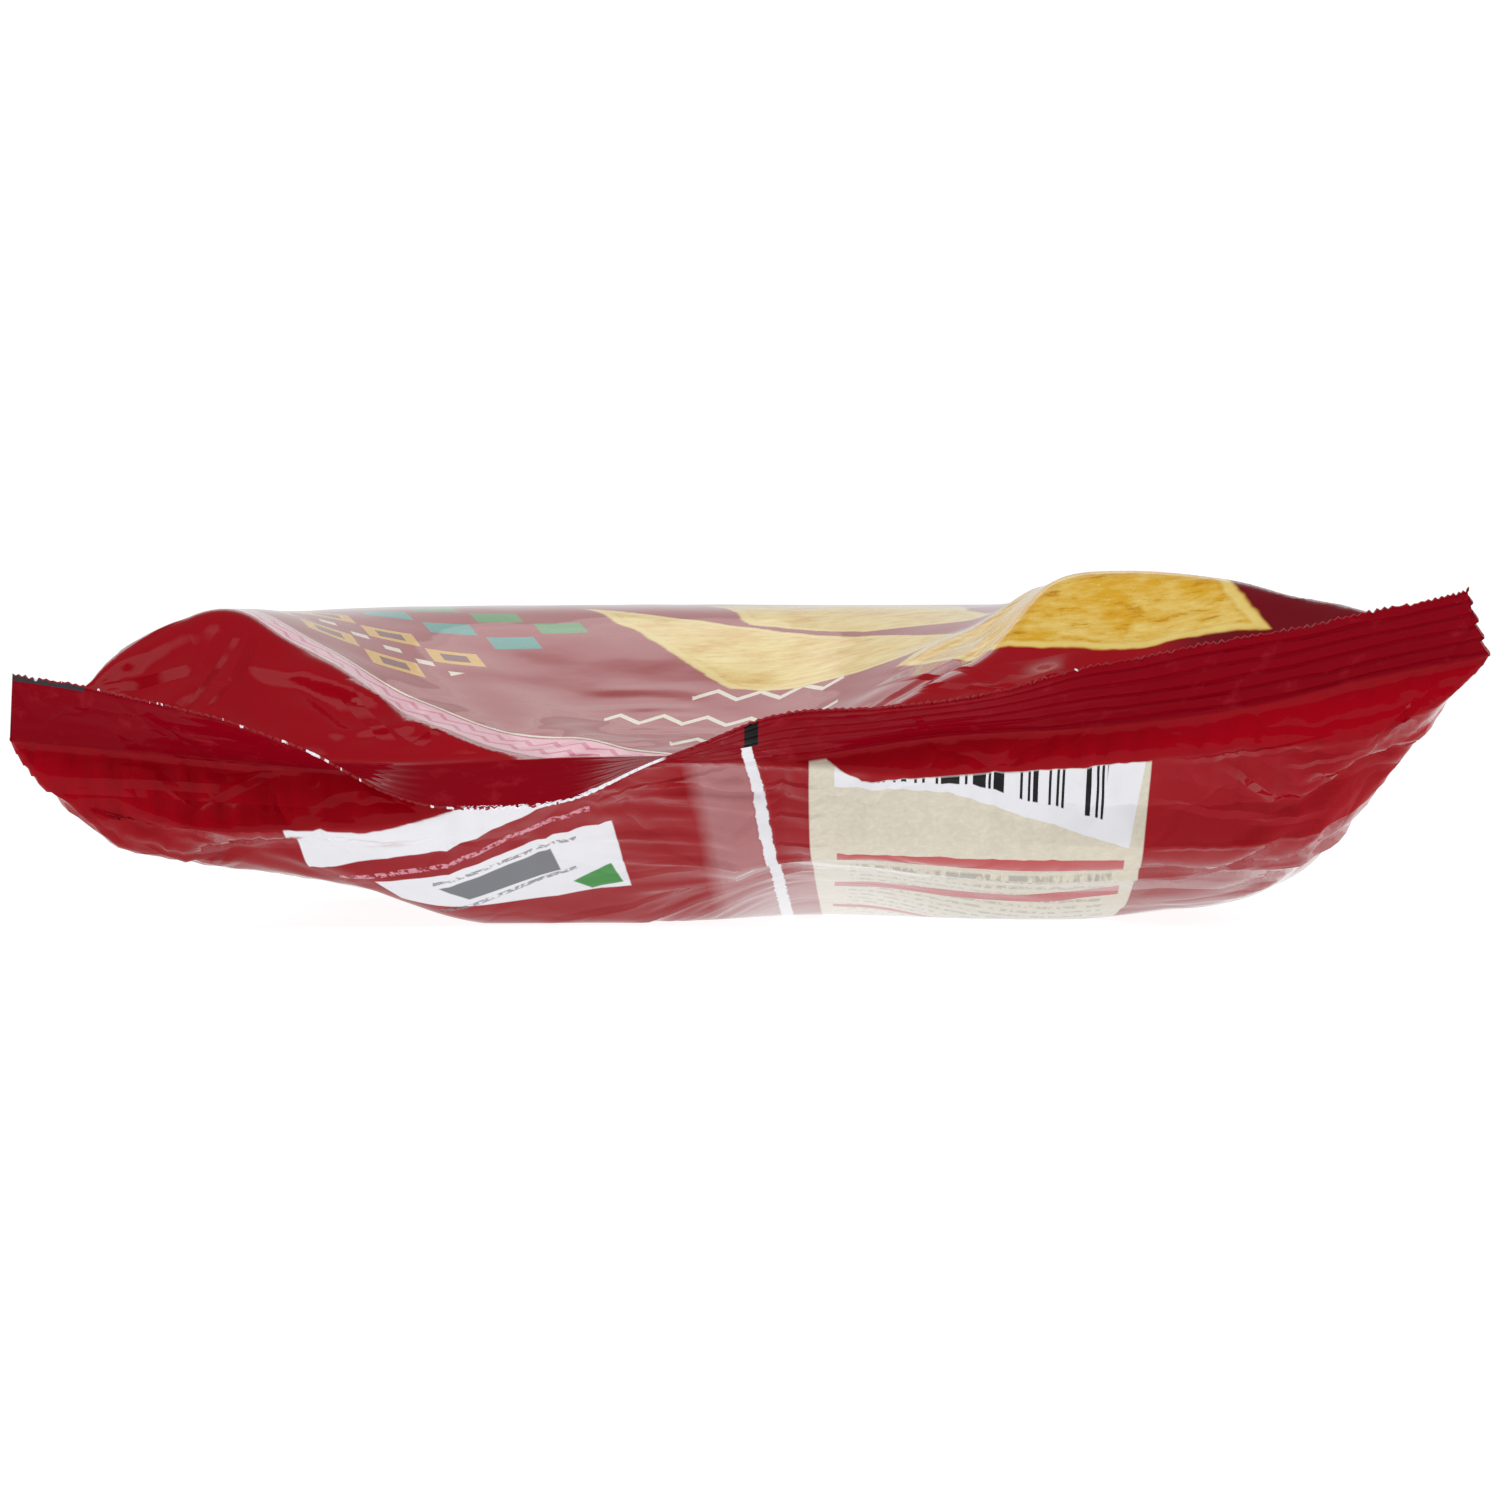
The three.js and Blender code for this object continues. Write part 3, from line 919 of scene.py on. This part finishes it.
BACK_MARKS = (
    (-68, 3.2, -95, 4.4, 0.5, 1.3),
    (-65, 0.4, -73, 5.4, 0.5, 1.3),
    (-75, 7.2, -81, 3.2, 0.25, 0.5),
    (-93, 8.5, -84, 17.0, 0.5, 1.4),
    (-98, 10.8, -54, 9.2, 1.5, 4.0),
    (-84, 14.0, -70, 24.0, 0.6, 1.6),
    (-89, 0.3, -59, 0.3, 0.18, 0.35),
    (57, 6.2, 80, 6.6, 0.25, 0.4),
    (74, 18.5, 64, 7.5, 0.55, 1.3),
    (84, 10.6, 72, 10.4, 0.35, 0.8),
    (84, 15.0, 75, 12.2, 0.6, 1.4),
    (79, 17.0, 71, 16.6, 0.4, 0.9),
    (79, 22.8, 68, 20.2, 0.5, 1.2),
    (76, 22.0, 54, 12.8, 0.5, 1.5),
    (32, 19.2, 104, 30.4, 3.0, 8.0),
    (80, 26.8, 54, 23.2, 0.25, 0.5),
    (84, 12.0, 92, 4.0, 0.7, 1.6),
    (-22, 9.6, 0, 1.2, 0.35, 0.7),
    (-26, 20.0, -8, 17.5, 0.3, 1.6),
    (-28, 32.0, -6, 26.0, 0.35, 2.0),
    (-30, 40.0, -4, 33.0, 0.35, 1.8),
    (1, 6.0, 10, 6.8, 0.35, 0.9),
    (2, 13.0, 11, 12.6, 0.35, 0.9),
    (3, 19.5, 12, 19.0, 0.35, 0.9),
)


class Ink:
    """Builds the shader of one printed surface from its film coordinates in millimetres."""

    def __init__(self, name):
        self.material = bpy.data.materials.new(name)
        self.material.use_nodes = True
        self.tree = self.material.node_tree
        self.shader = self.tree.nodes["Principled BSDF"]

    def fill(self, made, values):
        """Links or sets the inputs of a node, each given by its name or number."""
        for place, value in values.items():
            if hasattr(value, "is_linked"):
                self.tree.links.new(value, made.inputs[place])
            else:
                made.inputs[place].default_value = value

    def shade(self, values):
        self.fill(self.shader, values)

    def node(self, kind, values=(), **settings):
        """A new node with its inputs and its own settings."""
        made = self.tree.nodes.new(kind)
        for key, value in settings.items():
            setattr(made, key, value)
        self.fill(made, values if isinstance(values, dict) else dict(enumerate(values)))
        return made

    def math(self, kind, *values, clamp=False):
        return self.node("ShaderNodeMath", values, operation=kind, use_clamp=clamp).outputs[0]

    plus = partialmethod(math, "ADD")
    minus = partialmethod(math, "SUBTRACT")
    times = partialmethod(math, "MULTIPLY")
    line = partialmethod(math, "MULTIPLY_ADD")
    lower = partialmethod(math, "MINIMUM")
    higher = partialmethod(math, "MAXIMUM")
    below = partialmethod(math, "LESS_THAN")
    above = partialmethod(math, "GREATER_THAN")
    folded = partialmethod(math, "PINGPONG")
    size = partialmethod(math, "ABSOLUTE")

    def vector(self, kind, first, second, output=0):
        made = self.node("ShaderNodeVectorMath", (first, second), operation=kind)
        return made.outputs[output]

    def dot(self, vector, towards):
        return self.vector("DOT_PRODUCT", vector, towards, "Value")

    def read_film(self):
        """Reads the film coordinates: x, distance along the film and how crumpled it is."""
        self.film = self.node("ShaderNodeAttribute", attribute_name="film").outputs["Vector"]
        split = self.node("ShaderNodeSeparateXYZ", (self.film,))
        self.x, self.along, self.crumple = split.outputs

    def noise(self, scale, detail=2.0, roughness=0.5, vector=None, colour=False):
        values = {
            "Vector": vector or self.film,
            "Scale": scale,
            "Detail": detail,
            "Roughness": roughness,
        }
        made = self.node("ShaderNodeTexNoise", values)
        return made.outputs["Color"] if colour else made.outputs[0]

    def stretched(self, x, along):
        """Film coordinates drawn out, for grain that runs one way."""
        return self.vector("MULTIPLY", self.film, (x, along, 0))

    def wobbled(self, scale, amount):
        """Film coordinates that wander a little, for edges that aren't straight."""
        colour = self.noise(scale, 3.0, 0.6, colour=True)
        centred = self.vector("SUBTRACT", colour, (0.5, 0.5, 0.5))
        scaled = self.vector("MULTIPLY", centred, (amount, amount, 0))
        return self.vector("ADD", self.film, scaled)

    def convex(self, corners, vector=None):
        """Distance outside a convex shape, negative inside."""
        vector = vector or self.film
        middle = np.mean(corners, 0)
        outside = None
        for a, b in zip(corners, corners[1:] + corners[:1]):
            normal = np.array((b[1] - a[1], a[0] - b[0])) / math.dist(a, b)
            if np.dot(middle - a, normal) > 0:
                normal = -normal
            side = self.minus(self.dot(vector, (*normal, 0)), float(np.dot(a, normal)))
            outside = side if outside is None else self.higher(outside, side)
        return outside

    def inside(self, distance, soft=0.2):
        """1 inside a shape, 0 outside, with a soft edge."""
        return self.line(distance, -1 / soft, 0.5, clamp=True)

    def between(self, value, low, high, soft=0.15):
        middle = (low + high) / 2
        away = self.size(self.minus(value, middle))
        return self.inside(self.minus(away, (high - low) / 2), soft)

    def mix(self, share, under, over):
        """One colour over another."""
        values = {0: share, 6: under, 7: over}
        return self.node("ShaderNodeMix", values, data_type="RGBA").outputs[2]

    def zigzag(self, across, along, pitch, height):
        """Distance above a zigzag line, from coordinates along and across it."""
        wave = self.folded(along, pitch / 2)
        return self.minus(across, self.times(wave, 2 * height / pitch))

    def ridge(self, x0, s0, x1, s1, height, width):
        """Height of one pressed crease: a sharp crest, steep on its right and GENTLE on its left."""
        length = math.dist((x0, s0), (x1, s1))
        run = ((x1 - x0) / length, (s1 - s0) / length)
        offset = x0 * run[0] + s0 * run[1]
        reached = self.dot(self.film, (*run, 0))
        share = self.line(reached, 2 / length, -2 * offset / length - 1)
        fade = self.higher(self.minus(1.0, self.times(share, share)), 0.0)
        aside = self.dot(self.film, (run[1], -run[0], 0))
        level = x0 * run[1] - s0 * run[0]
        steep = self.line(aside, -1 / width, 1 + level / width)
        broad = GENTLE * width
        gentle = self.line(aside, 1 / broad, 1 - level / broad)
        crest = self.higher(self.lower(steep, gentle), 0.0)
        return self.times(self.times(crest, fade), height)

    def grooves(self):
        """Depth of the narrow pressed grooves that run along a sealed band, deepest on its right."""
        drawn = self.noise(1.0, 2.0, 0.5, vector=self.stretched(0.06, 0.2))
        wander = self.line(drawn, 1.6, self.along)
        away = self.folded(wander, GROOVE_PITCH / 2)
        groove = self.line(away, -1 / GROOVE_WIDTH, 1.0, clamp=True)
        crisp = self.line(self.x, 0.012, 0.45, clamp=True)
        return self.times(self.times(groove, crisp), GROOVE_DEPTH)

    def gloss(self, marks, crumpled=0.0):
        """Clear glossy film over the print, with its pressed creases and a fine crumple."""
        sealed = self.below(self.along, 0.0)
        height = self.times(self.noise(0.09, 2.0, 0.5), SOFT_RELIEF)
        if crumpled:
            values = {"Vector": self.wobbled(0.05, 16.0), "Scale": 0.07}
            cells = self.node("ShaderNodeTexVoronoi", values, feature="DISTANCE_TO_EDGE").outputs[0]
            height = self.line(self.lower(cells, CELL_EDGE), crumpled, height)
        height = self.times(height, self.line(self.crumple, 0.85, 0.15))
        for mark in marks:
            height = self.plus(height, self.ridge(*mark))
        height = self.minus(height, self.times(self.grooves(), sealed))
        values = {"Height": height, "Distance": MM, "Strength": 1.0}
        bump = self.node("ShaderNodeBump", values).outputs[0]
        self.shade(
            {
                "Roughness": PRINT_ROUGHNESS,
                "Specular IOR Level": 0.0,
                "Coat Weight": self.line(sealed, BAND_GLOSS - 1.0, 1.0),
                "Coat Roughness": FILM_ROUGHNESS,
                "Coat IOR": FILM_IOR,
                "Normal": bump,
                "Coat Normal": bump,
            }
        )


def chip(ink, colour, baked, corners):
    """A golden chip with streaks along it, over what is printed so far; more baked is browner."""
    distance = ink.convex(corners, ink.wobbled(0.09, 3.0))
    streaks = ink.noise(0.5, 5.0, 0.7, vector=ink.stretched(0.4, 1.0))
    blotch = ink.noise(0.11, 3.0, 0.6)
    grain = ink.noise(1.2, 4.0, 0.75)
    broad = ink.line(blotch, 1.8, -1.35 - baked / 2)
    tone = ink.line(streaks, 2.4, broad, clamp=True)
    body = ink.mix(tone, GOLD, PALE_GOLD)
    toast = ink.line(streaks, -8.0, 3.5, clamp=True)
    body = ink.mix(ink.times(toast, 0.6 * baked), body, BROWN)
    body = ink.mix(ink.line(grain, 3.0, -1.75, clamp=True), body, PALE_GOLD)
    rim = ink.line(distance, 0.4, 1.0, clamp=True)
    body = ink.mix(ink.times(rim, 0.35), body, BROWN)
    edge = ink.between(distance, -1.6, -0.2, 0.6)
    body = ink.mix(ink.times(edge, 0.7), body, PALE_GOLD)
    return ink.mix(ink.inside(distance, 0.5), colour, body)


def slanted(ink, slope, centre=0.0):
    """Coordinates across and along a line with a slope on the film; across is 0 on the line."""
    turn = math.atan(slope)
    across = ink.minus(ink.dot(ink.film, (-math.sin(turn), math.cos(turn), 0)), centre)
    return across, ink.dot(ink.film, (math.cos(turn), math.sin(turn), 0))


BORDER_SLOPE = -0.62
MOTIF_RUN = (-93.5, -60.5)

# Rows of diamonds beside the border: colour, distance, pitch and half height
MOTIFS = (
    (GOLD, 13.0, 11.0, 5.2),
    (MAROON, 13.0, 11.0, 2.7),
    (CREAM, 20.5, 5.5, 1.7),
    (GOLD, 28.0, 11.0, 5.2),
    (MAROON, 28.0, 11.0, 2.7),
    (TEAL, 43.0, 11.0, 4.8),
    (GREEN, 55.0, 11.0, 4.8),
)


def border_stripe(ink, colour):
    """A pale folk border with a zigzag that runs across the panel on a slant, and a painted highlight
    along its edge.
    """
    across, run = slanted(ink, BORDER_SLOPE, -5.4)
    colour = ink.mix(ink.between(across, -5.2, 4.6), colour, PINK)
    for low in (-3.6, 0.2):
        wave = ink.zigzag(across, run, 4.6, 2.2)
        colour = ink.mix(ink.between(wave, low, low + 1.1), colour, ROSE)
    # Painted highlight: a thin cream line along the border's edge, where the ridge of the film catches
    # light
    return ink.mix(ink.between(across, 5.2, 6.0), colour, CREAM)


def diamonds(ink, colour, paint, distance, pitch, size):
    """A short row of diamonds beside the border, at a distance from it."""
    across, run = slanted(ink, BORDER_SLOPE, distance)
    wave = ink.folded(run, pitch / 2)
    outside = ink.minus(ink.plus(ink.size(across), wave), size)
    shown = ink.between(run, *MOTIF_RUN)
    return ink.mix(ink.times(ink.inside(outside), shown), colour, paint)


# Rows of cream zigzag on the front: distance along the film, left and right end
ZIGZAG_ROWS = ((41.0, -8, 13), (26.5, -20, 12), (13.0, -11, 2))

# The chips on the front: how baked each is, and its corners
FRONT_CHIPS = (
    (0.3, ((-6, 104), (0, 84), (16, 71), (34, 64), (30, 92), (10, 106))),
    (0.3, ((-24, 97), (-3, 47), (6, 44), (22, 44), (30, 52), (21, 63), (0, 82))),
    (1.0, ((20, 37), (33, 20), (52, 19), (71, 18.5), (62, 42), (54, 60), (38, 62), (26, 50))),
    (0.6, ((-34, 128), (6, 112), (30, 124), (2, 156))),
    (0.8, ((2, 158), (34, 132), (60, 150), (44, 182))),
    (0.6, ((-52, 170), (-20, 160), (4, 182), (-30, 206))),
)


def red_film(ink):
    """The red that both panels are printed with, a little uneven."""
    tone = ink.noise(0.012, 1.0, 0.5)
    return ink.mix(ink.line(tone, 1.5, -0.5, clamp=True), RED, DEEP_RED)


def front_ink():
    """The front panel: a border with motifs beside it, zigzag rows and chips on red."""
    ink = Ink("film_front")
    ink.read_film()
    colour = red_film(ink)
    # Painted shade: the front's right corner is darker maroon, with a broad soft edge
    shade = ink.inside(ink.convex([(59, 12), (96, 12), (96, 74), (56, 74)]), 6.0)
    colour = ink.mix(shade, colour, MAROON)
    colour = border_stripe(ink, colour)
    for motif in MOTIFS:
        colour = diamonds(ink, colour, *motif)
    for distance, left, right in ZIGZAG_ROWS:
        across, run = slanted(ink, -0.1, distance)
        wave = ink.between(ink.zigzag(across, run, 6.0, 4.4), -1.0, 1.0)
        colour = ink.mix(ink.times(wave, ink.between(ink.x, left, right)), colour, CREAM)
    for baked, corners in FRONT_CHIPS:
        colour = chip(ink, colour, baked, list(corners))
    colour = torn_strip_and_glints(ink, band_shade_and_wear(ink, colour))
    ink.shade({"Base Color": colour})
    ink.gloss(FRONT_MARKS)
    return ink.material


def band_shade_and_wear(ink, colour):
    """Painted shade: the print is darker on the sealed band, where the film is pressed together, and a
    little worn.
    """
    worn = ink.line(ink.noise(0.28, 5.0, 0.6), 4.0, -2.3, clamp=True)
    # Painted shade: the band's red is darker, with worn patches over it
    pressed = ink.mix(ink.times(worn, 0.5), PAINTED_SHADE_BAND_RED, WORN_RED)
    return ink.mix(ink.inside(ink.along, 0.8), colour, pressed)


def lip_line(ink):
    """Distance along the film at which the back panel turns under its lip."""
    left = ink.lower(ink.line(ink.x, -0.27, -5.0), 9.1)
    right = ink.lower(ink.line(ink.x, 1.0, -9.5), 5.7)
    return ink.higher(ink.higher(left, right), 0.8)


BAR_WIDTH = 0.36


def bars(ink, colour, shown):
    """A bar block on its slanted white label."""
    label = ink.lower(
        ink.convex([(11.5, -3), (11.5, 6.4), (27, 8.8), (27, -3)]),
        ink.convex([(26, -3), (26, 8.3), (52, 22.6), (54.6, -3)]),
    )
    colour = ink.mix(ink.times(ink.inside(label), shown), colour, LABEL_WHITE)
    cell = ink.math("FLOOR", ink.math("DIVIDE", ink.x, BAR_WIDTH))
    drawn = ink.node("ShaderNodeTexWhiteNoise", {"W": cell}, noise_dimensions="1D")
    dark = ink.above(drawn.outputs["Value"], 0.48)
    field = ink.lower(
        ink.convex([(14.5, -3), (14.5, 5.4), (30, 7.6), (30, -3)]),
        ink.convex([(29, -3), (29, 7.2), (48.2, 16.4), (49.2, -3)]),
    )
    field = ink.times(ink.inside(field), shown)
    return ink.mix(ink.times(dark, field), colour, BLACK)


def small_rows(ink, paper):
    """Rows of fine grey print, too small to read."""
    across, _ = slanted(ink, 0.05)
    rows = ink.folded(across, 2.1)
    lines = ink.inside(ink.minus(rows, 0.9), 0.6)
    drawn = ink.noise(1.1, 2.0, 0.6, vector=ink.stretched(1.0, 0.25))
    words = ink.line(drawn, 8.0, -3.4, clamp=True)
    field = ink.times(ink.between(ink.x, 14, 50), ink.between(across, 28, 100))
    share = ink.times(ink.times(lines, words), ink.times(field, 0.5))
    return ink.mix(share, paper, GREY)


# Red stripes of the cream panel: slope, distance along the film and half width
PANEL_STRIPES = ((0.12, 21.0, 1.9), (-0.28, 55.0, 2.6), (-0.1, 79.0, 1.5))


def cream_panel(ink, colour, shown):
    """A grainy cream field on the right of the back, with fine rows and red stripes."""
    left = [(8, -3), (8, 13), (9.5, 60), (12, 150)]
    right = [(50, 150), (53, 54), (56.5, 26), (59.5, -3)]
    field = ink.convex(left + right)
    grain = ink.noise(1.1, 4.0, 0.7)
    paper = ink.mix(ink.line(grain, 0.9, -0.28, clamp=True), CREAM, PALE_GREY)
    paper = small_rows(ink, paper)
    for slope, centre, half in PANEL_STRIPES:
        across, _ = slanted(ink, slope, centre)
        stripe = ink.times(ink.between(across, -half, half), ink.between(ink.x, 12, 51.5))
        paper = ink.mix(ink.times(stripe, 0.9), paper, STRIPE_RED)
    return ink.mix(ink.times(ink.inside(field), shown), colour, paper)


def white_labels(ink, colour, shown):
    """Two white labels left of the middle, the second with a grey block and a green corner."""
    label = ink.convex([(-65, -2), (-61, 24.6), (-23.5, 8.0), (-20, -2)])
    colour = ink.mix(ink.times(ink.inside(label), shown), colour, LABEL_WHITE)
    for corners, rounding, paint in (
        ([(-50, 26.2), (-20, 16), (-18, 29.4), (-27, 31), (-48, 28.8)], 1.2, LABEL_WHITE),
        ([(-42, 26.2), (-28, 21.2), (-27, 25.4), (-39, 28.6)], 0.6, GREY),
        ([(-24, 29), (-19.5, 25.5), (-18.2, 29.2), (-22, 30.6)], 0.4, GREEN),
    ):
        rounded = ink.minus(ink.convex(corners), rounding)
        colour = ink.mix(ink.inside(rounded), colour, paint)
    row = word_row(ink, -0.43, 1.7, 0.5)
    row = ink.times(row, ink.between(ink.x, -57, -22))
    colour = ink.mix(ink.times(row, 0.75), colour, PINK)
    for distance in (9.4, 16.6):
        row = ink.times(word_row(ink, -0.34, distance, 0.4), ink.between(ink.x, -44, -24))
        colour = ink.mix(ink.times(row, 0.8), colour, GREY)
    return colour


def word_row(ink, slope, distance, half):
    """One slanted row of print that is broken up like words but can't be read."""
    across, _ = slanted(ink, slope, distance)
    words = ink.line(ink.noise(1.3, 2.0, 0.6), 7.0, -2.9, clamp=True)
    return ink.times(ink.between(across, -half, half), words)


# Edges across the film of the white fin, of the dark mark above it and of the lap beside it, a paler
# overlap that also carries a painted reflection veil
FIN_EDGES = (-0.8, 0.8)
MARK_EDGES = (-0.8, 1.1)
MARK_START = -4.4
LAP_AND_VEIL_EDGES = (-8.5, 0.0)


def back_ink():
    """The back panel: a cream panel with bars, white labels and the fin between them on red."""
    ink = Ink("film_back")
    ink.read_film()
    colour = band_shade_and_wear(ink, red_film(ink))
    shown = ink.inside(ink.minus(lip_line(ink), ink.along), 0.4)
    colour = cream_panel(ink, colour, shown)
    colour = bars(ink, colour, shown)
    colour = white_labels(ink, colour, shown)
    bend = ink.line(ink.along, 0.035, 2.4)
    centre = ink.lower(ink.times(ink.along, 0.13), bend)
    ragged = ink.line(ink.noise(0.5, 3.0, 0.6), 1.0, -0.5)
    beside = ink.plus(ink.minus(ink.x, centre), ragged)
    # The lap beside the fin is painted paler, partly the overlap's own tone and partly a painted
    # reflection veil
    lap_and_veil = ink.times(ink.between(beside, *LAP_AND_VEIL_EDGES, 2.5), ink.between(ink.along, 0.5, 250, 1.0))
    colour = ink.mix(ink.times(lap_and_veil, 0.4), colour, LAP_AND_VEIL_PINK)
    fin = ink.times(ink.between(beside, *FIN_EDGES), ink.above(ink.along, MARK_START))
    colour = ink.mix(fin, colour, LABEL_WHITE)
    mark = ink.times(ink.between(ink.x, *MARK_EDGES), ink.below(ink.along, MARK_START))
    colour = ink.mix(mark, colour, BLACK)
    corner = ink.below(ink.x, -89.5)
    inner = ink.times(corner, ink.below(ink.along, -10.1))
    colour = torn_strip_and_glints(ink, ink.mix(inner, colour, SILVER))
    ink.shade({"Base Color": colour})
    ink.gloss(BACK_MARKS, CRUMPLE)
    return ink.material


TORN_STRIP = (-22, -11.6)


def teeth_glint_stretches(ink):
    """Where along the cut edge the teeth get painted highlights."""
    wide = ink.between(ink.x, -38, -21, 3.0)
    return ink.higher(wide, ink.between(ink.x, -59, -56.5, 0.8))


def torn_strip_and_glints(ink, colour):
    """Painted highlights as white flecks on the teeth of the cut edge, and a torn white strip left of the
    middle.
    """
    ragged = ink.line(ink.noise(0.8, 3.0, 0.7), 1.6, -0.8)
    depth = ink.minus(-10.35, ink.plus(ink.along, ragged))
    torn = ink.inside(ink.times(depth, -1.0), 0.2)
    strip = ink.times(torn, ink.between(ink.x, *TORN_STRIP, 0.8))
    # Painted highlights: white flecks on the teeth
    tips = ink.above(ink.noise(1.1, 2.0), 0.53)
    tips = ink.times(tips, ink.below(ink.along, -10.5))
    share = ink.higher(strip, ink.times(tips, teeth_glint_stretches(ink)))
    return ink.mix(share, colour, LABEL_WHITE)


def cut_ink():
    """The torn cut edge: red film with white flecks, more of them as painted highlights where the teeth
    glint, and a white torn strip left of the middle.
    """
    ink = Ink("cut_edge")
    ink.read_film()
    torn = ink.between(ink.x, *TORN_STRIP, 0.8)
    # More white flecks, as painted highlights, where the teeth glint
    limit = ink.line(teeth_glint_stretches(ink), -0.16, 0.61)
    limit = ink.line(ink.above(ink.x, -10.0), 0.08, limit)
    fleck = ink.above(ink.noise(0.9, 2.0), limit)
    colour = ink.mix(ink.higher(fleck, torn), DEEP_RED, LABEL_WHITE)
    ink.shade({"Base Color": colour, "Roughness": PRINT_ROUGHNESS})
    return ink.material


UPRIGHT = (math.pi / 2, 0, 0)
CAMERA_DISTANCE = 1000.0
CAMERA_HEIGHT = 24.2
LENS = 177.6


def camera():
    """A level camera in front of the near seal."""
    data = bpy.data.cameras.new("camera")
    data.sensor_width = 36
    data.lens = LENS
    data.clip_end = 50
    y = -HALF_LENGTH - CENTRE_Y - CAMERA_DISTANCE
    made = placed("camera", data, (0, y * MM, CAMERA_HEIGHT * MM), UPRIGHT)
    bpy.context.scene.camera = made


def matte(name, grey, glow):
    """An even grey for the studio's own surfaces, with a glow of its own."""
    ink = Ink(name)
    ink.shade(
        {
            "Base Color": (grey, grey, grey, 1),
            "Roughness": 1.0,
            "Specular IOR Level": 0.0,
            "Emission Color": (1, 1, 1, 1),
            "Emission Strength": glow,
        }
    )
    return ink


def card(ink, size, place, turn=(0, 0, 0)):
    """A flat rectangle of the studio, named after its material."""
    name = ink.material.name
    x = size[0] / 2
    y = size[1] / 2
    mesh = bpy.data.meshes.new(name)
    mesh.from_pydata([(-x, -y, 0), (x, -y, 0), (x, y, 0), (-x, y, 0)], [], [(0, 1, 2, 3)])
    mesh.materials.append(ink.material)
    made = placed(name, mesh, place, turn)
    return made


def lamp(name, place, watts):
    """A soft light that looks at the bag and doesn't show in the film."""
    light = bpy.data.lights.new(name, "AREA")
    light.shape = "RECTANGLE"
    light.size, light.size_y = LAMP_SIZE
    light.energy = watts
    turn = (-Vector(place)).to_track_quat("-Z", "Y").to_euler()
    made = placed(name, light, place, turn)
    made.visible_glossy = False


# Glow of the ceiling and of what the film reflects from the floor: place front to back, and glow
CEILING_GLOW = (
    (-3.4, 0.03),
    (-1.9, 0.04),
    (-1.5, 0.65),
    (-0.7, 0.65),
    (-0.45, 0.12),
    (1.3, 0.1),
    (2.5, 0.5),
    (2.9, 1.1),
    (3.6, 1.15),
)
FLOOR_GLOW = ((-1.0, 0.15), (-0.16, 0.18), (-0.1, 0.25), (-0.085, 0.9), (0.2, 1.0))
FIN_GLOW = 0.3
FIN_PATCH_X = (-0.045, 0.0)
FIN_PATCH_Y = (-0.13, -0.08)
GLOW_SCALE = 4.0
WORLD_GLOW = 1.05
FLOOR_OWN_GLOW = 0.94
BACK_GLOW = 0.75
LAMP_SIZE = (0.5, 0.9)


def graded(name, depth, glow_stops, fin_glow=0.0):
    """A dark surface whose glow changes softly from front to back, with more of it under the fin."""
    ink = matte(name, 0.03, GLOW_SCALE)
    place = ink.node("ShaderNodeTexCoord").outputs["Object"]
    sideways, along, _ = ink.node("ShaderNodeSeparateXYZ", (place,)).outputs
    ramp = ink.node("ShaderNodeValToRGB", (ink.line(along, 1 / depth, 0.5),))
    stops = ramp.color_ramp.elements
    while len(stops) < len(glow_stops):
        stops.new(0.5)
    for stop, (y, glow) in zip(stops, glow_stops):
        stop.position = y / depth + 0.5
        level = glow / GLOW_SCALE
        stop.color = (level, level, level, 1)
    beside = ink.between(sideways, *FIN_PATCH_X, 0.04)
    patch = ink.times(beside, ink.between(along, *FIN_PATCH_Y, 0.03))
    ink.shade({"Emission Color": ink.line(patch, fin_glow / GLOW_SCALE, ramp.outputs[0])})
    return ink


def studio():
    """A light table with a dark front, a pale back, a graded ceiling and two soft lamps."""
    world = bpy.data.worlds.new("studio")
    world.use_nodes = True
    background = world.node_tree.nodes["Background"]
    background.inputs["Color"].default_value = (1, 1, 1, 1)
    background.inputs["Strength"].default_value = WORLD_GLOW
    bpy.context.scene.world = world
    bpy.context.scene.view_settings.view_transform = "Standard"
    floor = card(matte("floor", 0.2, FLOOR_OWN_GLOW), (12, 12), (0, 0, -0.0002))
    floor.visible_glossy = False
    card(graded("floor_glow", 12, FLOOR_GLOW, FIN_GLOW), (12, 12), (0, 0, -0.0006))
    card(matte("front_wall", 0.05, 0.0), (7, 3.6), (0, -3.0, 1.8), UPRIGHT)
    back = card(matte("back_wall", 0.0, BACK_GLOW), (12, 1.9), (0, 3.7, 0.95), UPRIGHT)
    back.visible_camera = False
    card(graded("ceiling", 7.2, CEILING_GLOW), (5.2, 7.2), (0, 0, 2.0))
    lamp("left_light", (-1.7, -1.0, 1.1), 23)
    lamp("right_light", (1.7, -1.0, 1.1), 20)


film = relaxed_film()
bag = bag_object(bag_mesh(film), [front_ink(), back_ink(), cut_ink()])
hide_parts("bag")
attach(bag, "root")
camera()
studio()
